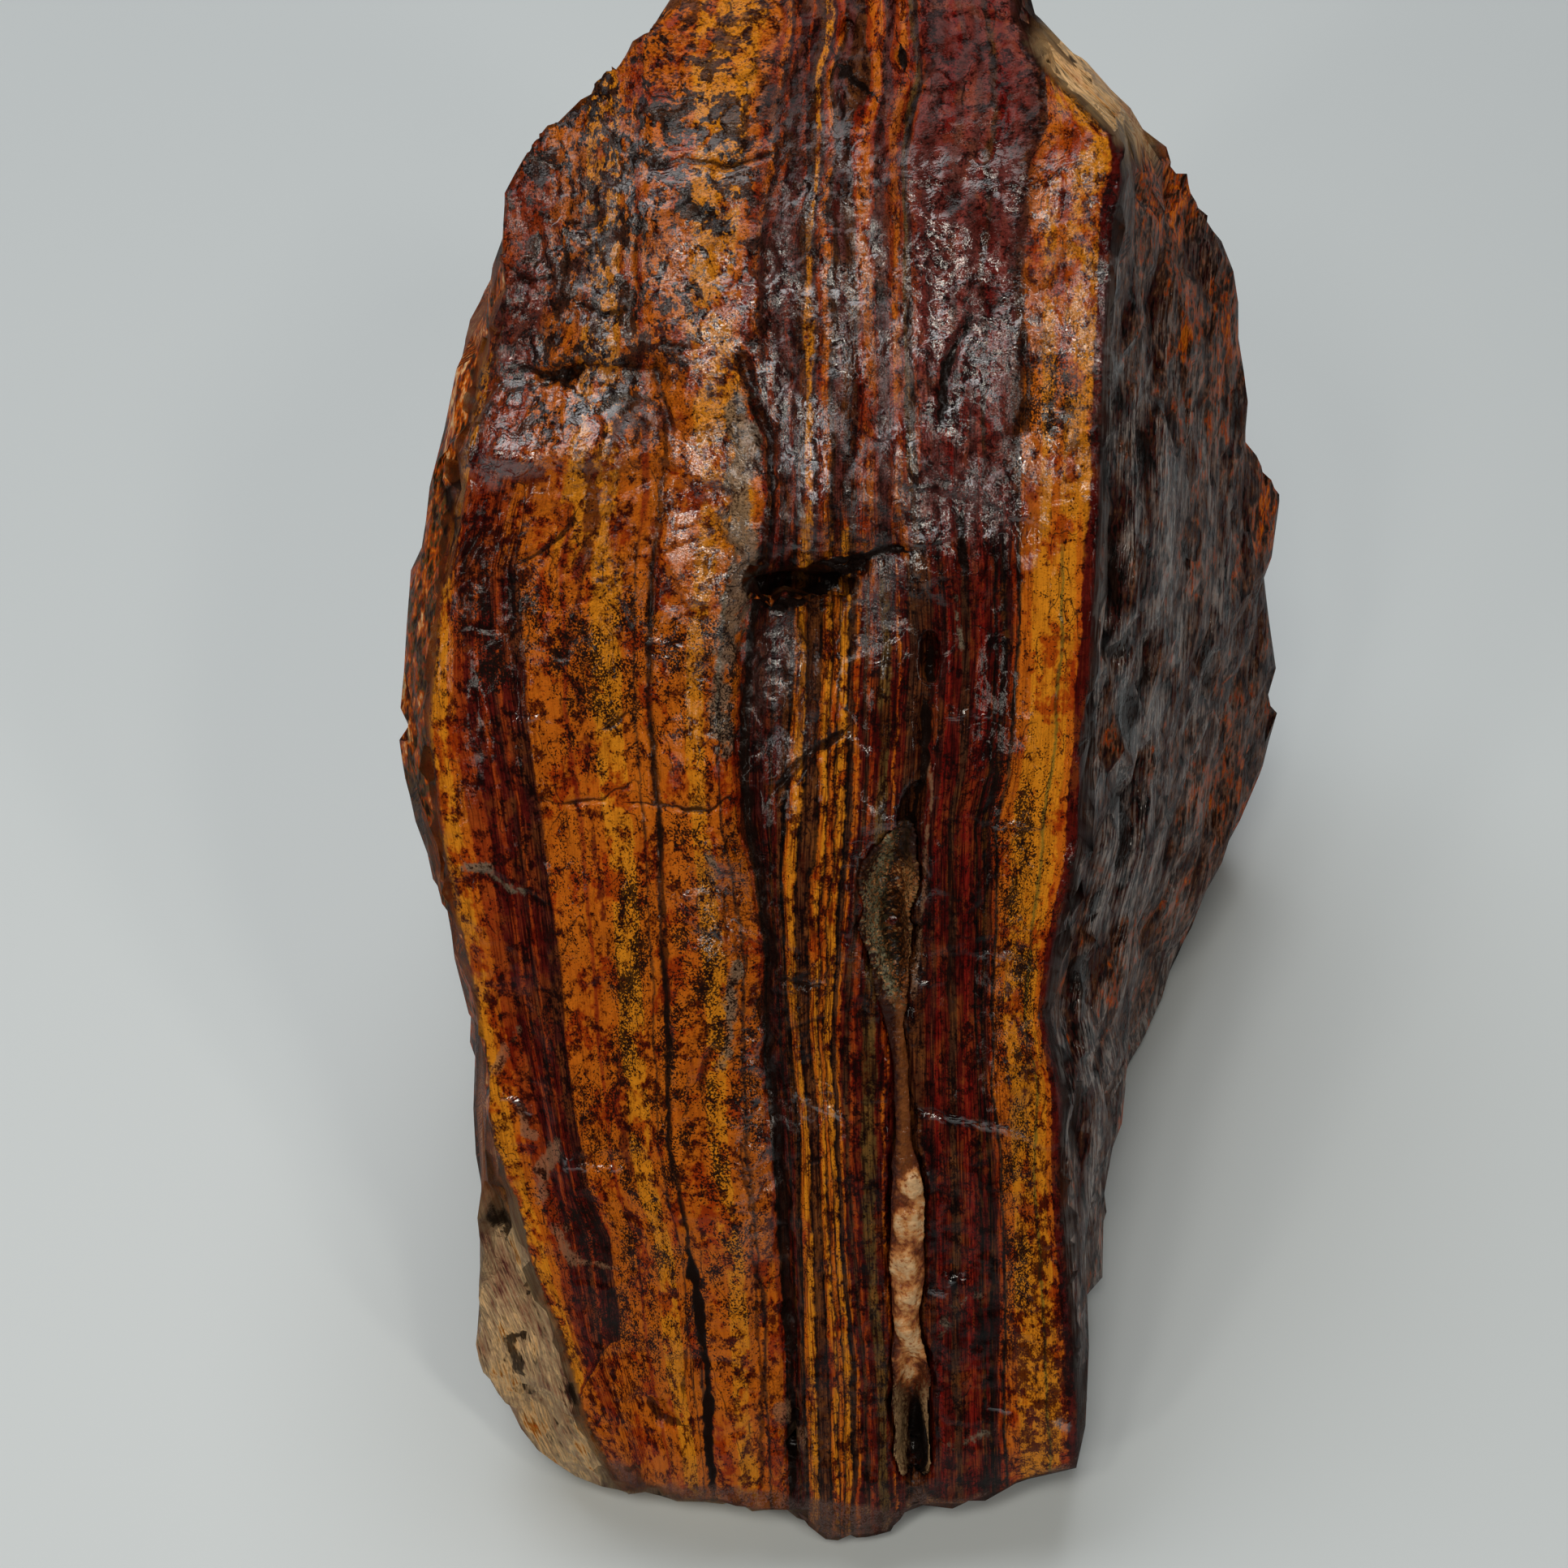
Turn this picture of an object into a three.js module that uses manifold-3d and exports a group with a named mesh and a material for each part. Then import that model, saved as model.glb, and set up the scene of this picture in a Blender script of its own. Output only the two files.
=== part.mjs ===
// Rough stromatolite jasper: one broken lump of banded stone, about 205 mm tall, standing on its flat foot
// with the banded front leaning back. A seam on the front opens into hollows lined with a quartz crust.
// Millimetres, +Z up, front facing -Y, origin at the foot's level under the middle of the box.
import * as THREE from 'three';
import { mergeVertices } from 'three/addons/utils/BufferGeometryUtils.js';
import Module from 'manifold-3d';

const wasm = await Module();
wasm.setup();

// --- The eye that the sight points of the edges belong to ---
// It looks down at the banded front. A sight point says how far across and down the view a point of an edge
// lies, in steps of 1 / FOCUS of its distance from the eye, and how many mm that distance is.
const PITCH = THREE.MathUtils.degToRad(52.2);
const FOCUS = 4025;
const VIEW_MIDDLE = 966;
const AHEAD = new THREE.Vector3(0, Math.cos(PITCH), -Math.sin(PITCH));
const UPWARD = new THREE.Vector3(0, Math.sin(PITCH), Math.cos(PITCH));
const RIGHTWARD = new THREE.Vector3(1, 0, 0);
// Where the eye sees the ground at x = 0 and y = 0
const GROUND_SIGHT = { down: 1930, far: 575 };
// How far the rims of the banded face are from the eye, by how far down the view they lie
const RIM_FAR = [
  { down: -60, far: 528 }, { down: 200, far: 516 }, { down: 560, far: 511 }, { down: 1000, far: 522 },
  { down: 1400, far: 538 }, { down: 1835, far: 564 }, { down: 1905, far: 572 },
];

function alongSight(across, down, far) {
  return new THREE.Vector3()
    .addScaledVector(AHEAD, far)
    .addScaledVector(RIGHTWARD, ((across - VIEW_MIDDLE) / FOCUS) * far)
    .addScaledVector(UPWARD, ((VIEW_MIDDLE - down) / FOCUS) * far);
}

const EYE = alongSight(VIEW_MIDDLE, GROUND_SIGHT.down, GROUND_SIGHT.far).negate();

function seen(sights) {
  return sights.map(([across, down, far]) => alongSight(across, down, far).add(EYE).toArray());
}

function rimFar(down) {
  const next = RIM_FAR.findIndex((row) => row.down >= down);
  const high = RIM_FAR[next - 1];
  const low = RIM_FAR[next];
  return THREE.MathUtils.mapLinear(down, high.down, low.down, high.far, low.far);
}

function seenOnRim(sights) {
  return seen(sights.map(([across, down]) => [across, down, rimFar(down)]));
}

// --- Long edges of the stone, each from the foot to the crown: points in mm, and sight points where the
// eye sees the edge ---
const EDGES = {
  leftRim: [
    [-30, 16, 0], [-27, 9, 8],
    ...seenOnRim([[798, 1816], [717, 1747], [689, 1647], [635, 1496], [599, 1380], [584, 1240], [551, 1077],
      [528, 870], [543, 728], [560, 620], [580, 540]]),
    [-47.5, 120, 173], [-45, 130, 178.5],
    ...seenOnRim([[624, 214], [680, 147], [750, 79], [837, 0]]),
    [-8, 190, 205],
  ],
  rightRim: [
    [51, 23, 0], [52, 13, 11], [51, 9, 22],
    ...seenOnRim([[1325, 1663], [1314, 1511], [1308, 1402], [1290, 1230], [1329, 1060], [1333, 932],
      [1348, 766], [1354, 600], [1360, 450], [1368, 280], [1383, 157], [1320, 80], [1258, 0]]),
    [26, 192, 206],
  ],
  rightMiddle: [
    [60.5, 88, 0], [61, 90, 11], [64, 96, 35],
    [67.5, 107, 62], [70, 116, 84], [70, 128, 104], [70, 139, 123],
    [69, 150, 139], [66, 160, 151], [64, 171, 162], [60, 180, 172], [50, 185, 183], [40, 190, 192],
    [29, 197, 203],
  ],
  rightShoulder: [
    [89, 154, 0], [93, 158, 13], [96, 162, 30], [96, 165, 50], [92, 169, 71], [92, 175, 90], [88, 179, 104],
    [85, 183, 115], [81, 188, 131], [76, 192, 146], [69, 196, 157], [56, 199, 168], [43, 201, 177],
    [32, 203, 187], [25, 204, 197],
  ],
  backRight: [
    [70, 184, 0], [74, 192, 20], [78, 199, 58],
    [75, 203, 96], [66, 206, 128], [54, 208, 154], [42, 208, 175],
    [31, 207, 190], [21, 204, 201],
  ],
  backLeft: [
    [-34, 178, 0], [-37, 186, 20], [-41, 192, 60], [-43, 196, 98], [-42, 197, 129], [-37, 197, 150],
    [-28, 200, 170], [-14, 202, 187], [-3, 201, 200],
  ],
  leftShoulder: [
    [-54, 108, 0], [-58, 112, 20], [-60, 120, 50], [-61, 129, 80], [-60, 137, 104], [-57, 147, 125],
    [-54, 155, 142], [-49, 163, 155], [-42, 170, 166], [-33, 178, 177], [-24, 186, 186], [-12, 196, 199],
  ],
  leftFlank: [
    [-40, 24, 0], [-43, 16, 9],
    ...seen([[617, 1745, 575], [608, 1690, 570], [585, 1530, 562]]),
    [-51.5, 47, 53],
    ...seen([[590, 1300, 550], [549, 1160, 545], [518, 1050, 540]]),
    [-63.5, 92, 121], [-63, 101, 133],
    ...seen([[495, 704, 530]]),
    [-59.5, 115, 149], [-57, 121, 157],
    ...seen([[545, 477, 524]]),
    [-48, 141, 170], [-46, 156, 182], [-38, 165, 188], [-29, 174, 192], [-19, 184, 197], [-10, 193, 203],
  ],
};

// Steps from each edge to the next one around the stone, and rows from foot to crown
const STEPS_AFTER = {
  leftRim: 23, rightRim: 6, rightMiddle: 6, rightShoulder: 3, backRight: 7, backLeft: 5, leftShoulder: 4,
  leftFlank: 3,
};
const ROWS = 49;
const FACE_CROWN = 2.2;

// Roughness fades in above the flat foot
const FOOT_FADE = 8;
const LUMPS = [
  { size: 26, height: 2.4, seed: 3 },
  { size: 11, height: 1.1, seed: 17 },
];
const BANDS = { across: 6, along: 46, height: 1.1, seed: 29 };
const SIDE_PITS = { size: 9, height: 1.9, seed: 41 };

// Forms of the front, placed by x and z: positive height stands out, negative sinks in
const FRONT_FORMS = [
  { name: 'lip lobe', x: -45, z: 167, halfX: 6, halfZ: 4, height: 2.2 },
  { name: 'ledge over the gap, left', x: 1, z: 160.5, halfX: 8, halfZ: 6, height: 3.4 },
  { name: 'ledge over the gap, right', x: 12, z: 164.5, halfX: 9, halfZ: 6, height: 2.6 },
  { name: 'recess under the ledge', x: 1, z: 143, halfX: 6, halfZ: 13, height: -4.2 },
  { name: 'diagonal step', x: 6, z: 138, halfX: 5, halfZ: 5, height: 1.6 },
  { name: 'upper hollow rim', x: 26, z: 156, halfX: 12, halfZ: 6, height: 1.8 },
  { name: 'orange lump', x: 36, z: 89, halfX: 4, halfZ: 5, height: 2.2 },
  { name: 'cross lip', x: 33, z: 82, halfX: 9, halfZ: 3, height: 1.5 },
  { name: 'foot swell', x: 14, z: 12, halfX: 30, halfZ: 9, height: 3.4 },
  { name: 'foot tongue', x: 12, z: 8.5, halfX: 8.6, halfZ: 7, height: 5.6 },
];
// A shelf on the upper left: from its lip it sinks in as it rises, up to a short riser
const SHELF = { lowX: -50, highX: -17, lipZ: 167.5, riserZ: 176.5, drop: 4.2, side: 4 };
const GROOVE_FORM = { x: -3.2, wander: 2.4, halfWidth: 4.4, height: -1.7, zLow: 14, zHigh: 178 };

// Broken faces: everything beyond each plane is split off
const BREAKS = [
  { name: 'back of the crown', point: [14, 203, 190], normal: [0.25, 0.8, 0.55] },
  { name: 'back shoulder', point: [68, 206, 120], normal: [0.62, 0.72, 0.28] },
  { name: 'back left corner', point: [-46, 181, 80], normal: [-0.72, 0.69, 0.06] },
  { name: 'back left heel', point: [-46, 168, 14], normal: [-0.7, 0.62, -0.36] },
  { name: 'back foot', point: [20, 190, 16], normal: [0.05, 0.86, -0.5] },
  { name: 'left heel', point: [-57, 96, 20], normal: [-0.92, -0.12, -0.38] },
  { name: 'upper left corner', point: [-47, 170, 160], normal: [-0.75, 0.6, 0.28] },
];

// Seam down the front: x, z, half width of its opening and depth below the surface
const SEAM = [
  { x: 19.5, z: 125, half: 1.6, depth: 2.5 },
  { x: 18, z: 119, half: 4.2, depth: 6 },
  { x: 16.5, z: 112, half: 4.8, depth: 7 },
  { x: 17, z: 103, half: 3.8, depth: 5.5 },
  { x: 18.2, z: 96, half: 2.0, depth: 3.2 },
  { x: 19, z: 88, half: 1.6, depth: 2.6 },
  { x: 19.6, z: 80, half: 1.7, depth: 2.6 },
  { x: 20.1, z: 72, half: 2.8, depth: 3.6 },
  { x: 20.6, z: 60, half: 3.2, depth: 4.2 },
  { x: 20.6, z: 48, half: 2.6, depth: 3.8 },
  { x: 21.4, z: 39, half: 3.4, depth: 6 },
  { x: 22.2, z: 28, half: 3.7, depth: 9 },
  { x: 22.4, z: 19, half: 3.0, depth: 8 },
];
// The borders of the seam wander by this share of its half width
const SEAM_WANDER = { share: 0.24, step: 2.7, seed: 71 };
const SEAM_STATIONS = 46;
const SEAM_SIDES = 9;
const SEAM_GAP = 0.35;
// The cut for the seam widens by this share, and runs this far out of the face
const SEAM_FLARE = 1.15;
const SEAM_CLEAR = 4;
// How full of quartz the seam is at each height: 1 is level with the stone's face, 0 leaves only the lining
const CRUST_FILL = [
  { z: 125, fill: 0.6 }, { z: 119, fill: 0.12 }, { z: 103, fill: 0.2 }, { z: 97, fill: 0.86 },
  { z: 78, fill: 0.86 }, { z: 73, fill: 1.12 }, { z: 47, fill: 1.08 }, { z: 40, fill: 0.25 },
  { z: 34, fill: 0.05 }, { z: 19, fill: 0.1 },
];
const CRUST_LINING = 1.1;
const CRUST_KNOBS = { size: 3.1, height: 1.5, seed: 53 };
const KNOB_LIFT = 8;

// Open gap under the overhanging ledge: its middle line and its height from left to right. It runs into
// the stone and down, starts this far outside the face, and narrows inwards to a share of its height.
const LEDGE_GAP = [
  { x: -5.5, z: 154.2, high: 2.2 }, { x: -3, z: 152.4, high: 6.0 }, { x: 1, z: 151.5, high: 7.4 },
  { x: 5, z: 152.2, high: 6.4 }, { x: 10, z: 154.4, high: 4.4 }, { x: 15, z: 156.4, high: 2.6 },
  { x: 19, z: 157.6, high: 1.4 },
];
const LEDGE_GAP_REACH = { deep: 8, clear: 5, slant: 1.1, narrow: 0.3 };

// Small slots and holes. Each is a hollow of half width and half height about a point on the surface, as
// deep as said and turned about Y.
const GAPS = [
  { name: 'slot beside the seam', x: 23, z: 144, wide: 1.1, high: 4, deep: 5, turn: 0 },
  { name: 'hollow above the vug', x: 20, z: 127, wide: 1.5, high: 6, deep: 5, turn: 0.25 },
  { name: 'left crown hole', x: 10.5, z: 198.8, wide: 1.8, high: 1.4, deep: 6, turn: 0.5 },
  { name: 'right crown hole', x: 18.5, z: 200.1, wide: 1.1, high: 1.2, deep: 5, turn: 0 },
  { name: 'foot crack', x: 1.6, z: 30, wide: 0.9, high: 9, deep: 6, turn: 0.06 },
];

const STONE_LOOK = { color: 0x8a3d14, roughness: 0.35, metalness: 0 };
const QUARTZ_LOOK = { color: 0xcdb09a, roughness: 0.2, metalness: 0 };

// --- Noise that gives the same stone every time ---
function latticeValue(i, j, k, seed) {
  const wave = Math.sin(i * 127.1 + j * 311.7 + k * 74.7 + seed * 19.19) * 43758.5453;
  return 2 * (wave - Math.floor(wave)) - 1;
}

function noise(x, y, z, seed) {
  const base = [Math.floor(x), Math.floor(y), Math.floor(z)];
  const part = [x - base[0], y - base[1], z - base[2]].map((f) => f * f * (3 - 2 * f));
  let sum = 0;
  for (let corner = 0; corner < 8; corner += 1) {
    const step = [corner & 1, (corner >> 1) & 1, corner >> 2];
    const weight = step.reduce((product, s, axis) => product * (s ? part[axis] : 1 - part[axis]), 1);
    sum += weight * latticeValue(base[0] + step[0], base[1] + step[1], base[2] + step[2], seed);
  }
  return sum;
}

function crustFill(z) {
  const next = CRUST_FILL.findIndex((row) => row.z <= z);
  if (next === 0) return CRUST_FILL[0].fill;
  if (next === -1) return CRUST_FILL[CRUST_FILL.length - 1].fill;
  const high = CRUST_FILL[next - 1];
  const low = CRUST_FILL[next];
  return THREE.MathUtils.lerp(low.fill, high.fill, (z - low.z) / (high.z - low.z));
}

// --- The plain form: a skin stretched from edge to edge ---
const edgeNames = Object.keys(EDGES);
const edgeCurves = edgeNames.map((name) => new THREE.CatmullRomCurve3(
  EDGES[name].map((p) => new THREE.Vector3(...p)), false, 'centripetal'));

function plainRing(row) {
  const corners = edgeCurves.map((curve) => curve.getPointAt(row / ROWS));
  const ring = [];
  edgeNames.forEach((name, side) => {
    const from = corners[side];
    const to = corners[(side + 1) % corners.length];
    const onFace = name === 'leftRim';
    for (let step = 0; step < STEPS_AFTER[name]; step += 1) {
      const share = step / STEPS_AFTER[name];
      const point = from.clone().lerp(to, share);
      if (onFace) point.y -= FACE_CROWN * Math.sin(Math.PI * share) * Math.min(1, row / 4);
      ring.push({ point, onFace: onFace || (name === 'rightRim' && step === 0) });
    }
  });
  return ring;
}

function outwardNormals(rings) {
  const count = rings[0].length;
  return rings.map((ring, row) => ring.map((_, column) => {
    const above = rings[Math.min(row + 1, rings.length - 1)][column].point;
    const below = rings[Math.max(row - 1, 0)][column].point;
    const after = ring[(column + 1) % count].point;
    const before = ring[(column + count - 1) % count].point;
    const up = above.clone().sub(below);
    return after.clone().sub(before).cross(up).normalize();
  }));
}

// --- The rough form ---
function shelfSink(x, z) {
  const { lowX, highX, lipZ, riserZ, drop, side } = SHELF;
  if (z < lipZ || z > riserZ) return 0;
  const within = THREE.MathUtils.smoothstep(Math.min(x - lowX, highX - x), -side, side);
  return -drop * within * ((z - lipZ) / (riserZ - lipZ));
}

function frontRelief(x, z) {
  let height = shelfSink(x, z);
  for (const form of FRONT_FORMS) {
    const far = Math.hypot((x - form.x) / form.halfX, (z - form.z) / form.halfZ);
    height += form.height * THREE.MathUtils.smoothstep(1.25 - far, 0, 0.6);
  }
  const centre = GROOVE_FORM.x + GROOVE_FORM.wander * Math.sin(z / 24);
  const side = Math.abs(x - centre) / GROOVE_FORM.halfWidth;
  const ends = THREE.MathUtils.smoothstep(z, GROOVE_FORM.zLow, GROOVE_FORM.zLow + FOOT_FADE)
    * (1 - THREE.MathUtils.smoothstep(z, GROOVE_FORM.zHigh - FOOT_FADE, GROOVE_FORM.zHigh));
  return height + GROOVE_FORM.height * ends * THREE.MathUtils.smoothstep(1.2 - side, 0, 0.7);
}

function roughness(p, onFace) {
  let height = 0;
  for (const lump of LUMPS) {
    const weight = onFace ? 0.55 : 1;
    height += weight * lump.height * noise(p.x / lump.size, p.y / lump.size, p.z / lump.size, lump.seed);
  }
  if (onFace) {
    const along = Math.hypot(p.y, p.z);
    height += BANDS.height * noise(p.x / BANDS.across, along / BANDS.along, 0, BANDS.seed);
    return height + frontRelief(p.x, p.z);
  }
  const { size, height: deep, seed } = SIDE_PITS;
  const pit = noise(p.x / size, p.y / size, p.z / size, seed);
  return height - deep * THREE.MathUtils.smoothstep(pit, 0.1, 0.55);
}

function roughRings() {
  const rings = Array.from({ length: ROWS + 1 }, (_, row) => plainRing(row));
  const normals = outwardNormals(rings);
  return rings.map((ring, row) => ring.map(({ point, onFace }, column) => {
    if (row === 0) return point.clone().setZ(0);
    const fade = THREE.MathUtils.smoothstep(point.z, 0, FOOT_FADE);
    const moved = point.clone().addScaledVector(normals[row][column], fade * roughness(point, onFace));
    return moved.setZ(Math.max(moved.z, 0.4));
  }));
}

// --- Closed bodies ---
function closedLoft(rings) {
  const sides = rings[0].length;
  const positions = rings.flatMap((ring) => ring.flatMap((p) => [p.x, p.y, p.z]));
  const faces = [];
  for (let row = 0; row < rings.length - 1; row += 1) {
    for (let side = 0; side < sides; side += 1) {
      const a = row * sides + side;
      const b = row * sides + (side + 1) % sides;
      faces.push(a, b, b + sides, a, b + sides, a + sides);
    }
  }
  const capCentre = (ring) => ring.reduce((sum, p) => sum.add(p), new THREE.Vector3()).divideScalar(sides);
  for (const end of [0, rings.length - 1]) {
    const centre = capCentre(rings[end]);
    const hub = positions.length / 3;
    positions.push(centre.x, centre.y, centre.z);
    for (let side = 0; side < sides; side += 1) {
      const a = end * sides + side;
      const b = end * sides + (side + 1) % sides;
      faces.push(...(end === 0 ? [hub, b, a] : [hub, a, b]));
    }
  }
  const geometry = new THREE.BufferGeometry();
  geometry.setAttribute('position', new THREE.Float32BufferAttribute(positions, 3));
  geometry.setIndex(faces);
  return geometry;
}

function asSolid(geometry) {
  const bare = geometry.clone();
  bare.deleteAttribute('normal');
  bare.deleteAttribute('uv');
  const merged = mergeVertices(bare);
  const mesh = new wasm.Mesh({
    numProp: 3,
    vertProperties: new Float32Array(merged.attributes.position.array),
    triVerts: new Uint32Array(merged.index.array),
  });
  return new wasm.Manifold(mesh);
}

function asGeometry(solid) {
  const mesh = solid.getMesh();
  const geometry = new THREE.BufferGeometry();
  geometry.setAttribute('position', new THREE.BufferAttribute(new Float32Array(mesh.vertProperties), 3));
  geometry.setIndex(new THREE.BufferAttribute(new Uint32Array(mesh.triVerts), 1));
  return geometry;
}

function breakAway({ point, normal }) {
  const side = 400;
  const out = new THREE.Vector3(...normal).normalize();
  const box = new THREE.BoxGeometry(side, side, side);
  box.translate(0, 0, side / 2);
  box.applyQuaternion(new THREE.Quaternion().setFromUnitVectors(new THREE.Vector3(0, 0, 1), out));
  box.translate(...point);
  return asSolid(box);
}

// --- The seam and its crust ---
const rings = roughRings();

function nearestOnFront(x, z) {
  let best = null;
  let bestFar = Infinity;
  for (const ring of rings.slice(1)) {
    for (let column = 0; column < STEPS_AFTER.leftRim; column += 1) {
      const a = ring[column];
      const b = ring[column + 1];
      const share = THREE.MathUtils.clamp((x - a.x) / (b.x - a.x || 1), 0, 1);
      const p = a.clone().lerp(b, share);
      const far = Math.hypot(p.x - x, p.z - z);
      if (far < bestFar) [best, bestFar] = [p, far];
    }
  }
  return best;
}

const seamCurve = new THREE.CatmullRomCurve3(SEAM.map(({ x, z }) => nearestOnFront(x, z)));
const seamSizes = new THREE.CatmullRomCurve3(
  SEAM.map(({ half, depth, z }) => new THREE.Vector3(half, depth, z)));

function seamStation(index) {
  const share = index / SEAM_STATIONS;
  const centre = seamCurve.getPoint(share);
  const size = seamSizes.getPoint(share);
  const right = new THREE.Vector3(1, 0, 0);
  const out = seamCurve.getTangent(share).cross(right).normalize();
  if (out.y > 0) out.negate();
  const ends = Math.sqrt(Math.max(0.05, 1 - (2 * share - 1) ** 12));
  const { share: wander, step, seed } = SEAM_WANDER;
  const border = (side) => ends * size.x * (1 + wander * noise(centre.z / step, side, 0.5, seed));
  return { centre, right, out, left: border(0), half: border(9), depth: size.y * ends };
}

function seamPoint({ centre, right, out }, across, deep) {
  return centre.clone().addScaledVector(right, across).addScaledVector(out, -deep);
}

function trough(station, shrink, turn) {
  const half = (turn < Math.PI / 2 ? station.left : station.half) - shrink;
  const depth = station.depth - shrink;
  return seamPoint(station, -half * Math.cos(turn), depth * Math.sin(turn));
}

function seamCutter() {
  const sections = [];
  for (let index = 0; index <= SEAM_STATIONS; index += 1) {
    const station = seamStation(index);
    const ring = [];
    for (let side = 0; side < SEAM_SIDES; side += 1) {
      ring.push(trough(station, 0, (Math.PI * side) / (SEAM_SIDES - 1)));
    }
    ring.push(seamPoint(station, station.half * SEAM_FLARE, -SEAM_CLEAR));
    ring.push(seamPoint(station, -station.left * SEAM_FLARE, -SEAM_CLEAR));
    sections.push(ring);
  }
  return asSolid(closedLoft(sections));
}

function crustGeometry() {
  const sections = [];
  for (let index = 1; index < SEAM_STATIONS; index += 1) {
    const station = seamStation(index);
    const fill = crustFill(station.centre.z);
    const ring = [];
    for (let side = 0; side < SEAM_SIDES; side += 1) {
      ring.push(trough(station, SEAM_GAP, (Math.PI * side) / (SEAM_SIDES - 1)));
    }
    for (let side = SEAM_SIDES - 2; side > 0; side -= 1) {
      ring.push(crustTop(station, fill, (Math.PI * side) / (SEAM_SIDES - 1)));
    }
    sections.push(ring);
  }
  return closedLoft(sections);
}

function crustTop(station, fill, turn) {
  const lining = SEAM_GAP + CRUST_LINING;
  const wall = trough(station, Math.min(lining, 0.6 * station.left, 0.6 * station.half), turn);
  const border = turn < Math.PI / 2 ? station.left : station.half;
  const level = seamPoint(station, -(border - lining * 0.6) * Math.cos(turn), -0.2 * Math.sin(turn));
  const { size, height, seed } = CRUST_KNOBS;
  const knob = height * noise(wall.x / size, wall.y / size, wall.z / size, seed);
  const point = wall.lerp(level, Math.min(fill, 1));
  const proud = KNOB_LIFT * Math.max(0, fill - 1);
  return point.addScaledVector(station.out, Math.sin(turn) * (knob * fill + proud));
}

// --- Open gaps and holes ---
function gapCutter({ x, z, wide, high, deep, turn }) {
  const mouth = nearestOnFront(x, z);
  const shape = new THREE.SphereGeometry(1, 14, 8);
  shape.scale(wide, deep, high);
  shape.rotateY(turn);
  shape.translate(mouth.x, mouth.y, mouth.z);
  return asSolid(shape);
}

function ledgeGapCutter() {
  const { deep, clear, slant, narrow } = LEDGE_GAP_REACH;
  const sections = LEDGE_GAP.map(({ x, z, high }) => {
    const mouth = nearestOnFront(x, z);
    const corner = (inward, up) => new THREE.Vector3(x, mouth.y + inward, mouth.z - slant * inward + up);
    const edge = high / 2;
    const tip = narrow * edge;
    return [corner(-clear, edge), corner(-clear, -edge), corner(deep, -tip), corner(deep, tip)];
  });
  return asSolid(closedLoft(sections));
}

// --- The two pieces ---
function jasperGeometry() {
  let stone = asSolid(closedLoft(rings));
  for (const plane of BREAKS) stone = stone.subtract(breakAway(plane));
  stone = stone.subtract(seamCutter()).subtract(ledgeGapCutter());
  for (const gap of GAPS) stone = stone.subtract(gapCutter(gap));
  return asGeometry(stone);
}

function namedMesh(name, geometry, look) {
  const mesh = new THREE.Mesh(geometry, new THREE.MeshStandardMaterial(look));
  mesh.name = name;
  return mesh;
}

const jasper = namedMesh('jasper_block', jasperGeometry(), STONE_LOOK);
const crust = namedMesh('quartz_crust', crustGeometry(), QUARTZ_LOOK);

const stone = new THREE.Group();
stone.add(jasper, crust);
const reach = new THREE.Box3().setFromObject(stone);
const middle = reach.getCenter(new THREE.Vector3());
stone.position.set(-middle.x, -middle.y, -reach.min.z);

export default stone;
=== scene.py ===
"""Rough stromatolite jasper: the looks of the banded stone and of the quartz crust in its seam."""
import math

import bpy
import numpy as np
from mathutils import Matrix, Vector


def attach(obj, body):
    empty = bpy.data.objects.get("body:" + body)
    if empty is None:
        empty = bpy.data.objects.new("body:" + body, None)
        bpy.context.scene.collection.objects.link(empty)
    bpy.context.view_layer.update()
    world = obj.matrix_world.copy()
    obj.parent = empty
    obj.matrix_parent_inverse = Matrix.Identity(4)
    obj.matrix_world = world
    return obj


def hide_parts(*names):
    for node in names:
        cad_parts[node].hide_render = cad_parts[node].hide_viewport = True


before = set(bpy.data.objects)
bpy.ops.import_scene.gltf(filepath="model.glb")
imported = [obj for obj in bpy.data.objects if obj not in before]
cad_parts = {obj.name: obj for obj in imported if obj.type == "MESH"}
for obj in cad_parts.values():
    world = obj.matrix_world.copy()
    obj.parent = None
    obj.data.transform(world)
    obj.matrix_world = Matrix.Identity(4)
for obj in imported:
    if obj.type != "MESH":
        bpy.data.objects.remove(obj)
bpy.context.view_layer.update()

MM = 0.001

# ---------------------------------------------------------------- camera
# Picture coordinates below are those of a square frame of FRAME pixels, seen by this camera.
FRAME = 1932
# EYE is where the camera stands, and FACE_DEPTH how far the middle of the banded face is from it.
FOCAL_PX = 4025.0
SENSOR_MM = 36.0
PITCH = math.radians(52.2)
EYE = np.array([-17.4, -348.0, 538.7]) * MM
LOOK = np.array([0.0, math.cos(PITCH), -math.sin(PITCH)])
UP = np.array([0.0, math.sin(PITCH), math.cos(PITCH)])
FACE_DEPTH = 0.52
PX = FACE_DEPTH / FOCAL_PX


def make_camera():
    camera = bpy.data.objects.new("camera", bpy.data.cameras.new("camera"))
    camera.data.sensor_width = SENSOR_MM
    camera.data.lens = FOCAL_PX / FRAME * SENSOR_MM
    camera.data.clip_start = 0.01
    camera.location = EYE
    camera.rotation_euler = (math.pi / 2 - PITCH, 0, 0)
    bpy.context.collection.objects.link(camera)
    bpy.context.scene.camera = camera


def picture(points):
    """Picture x and y of each point, and its distance in metres along the line of sight."""
    local = points - EYE
    depth = local @ LOOK
    x = FRAME / 2 + FOCAL_PX * local[:, 0] / depth
    y = FRAME / 2 - FOCAL_PX * (local @ UP) / depth
    return x, y, depth


# ---------------------------------------------------------------- stage and light
FLOOR_COLOR = (0.74, 0.80, 0.83, 1)
WORLD_COLOR = (0.86, 0.93, 1.0, 1)
WORLD_STRENGTH = 0.03


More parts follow.
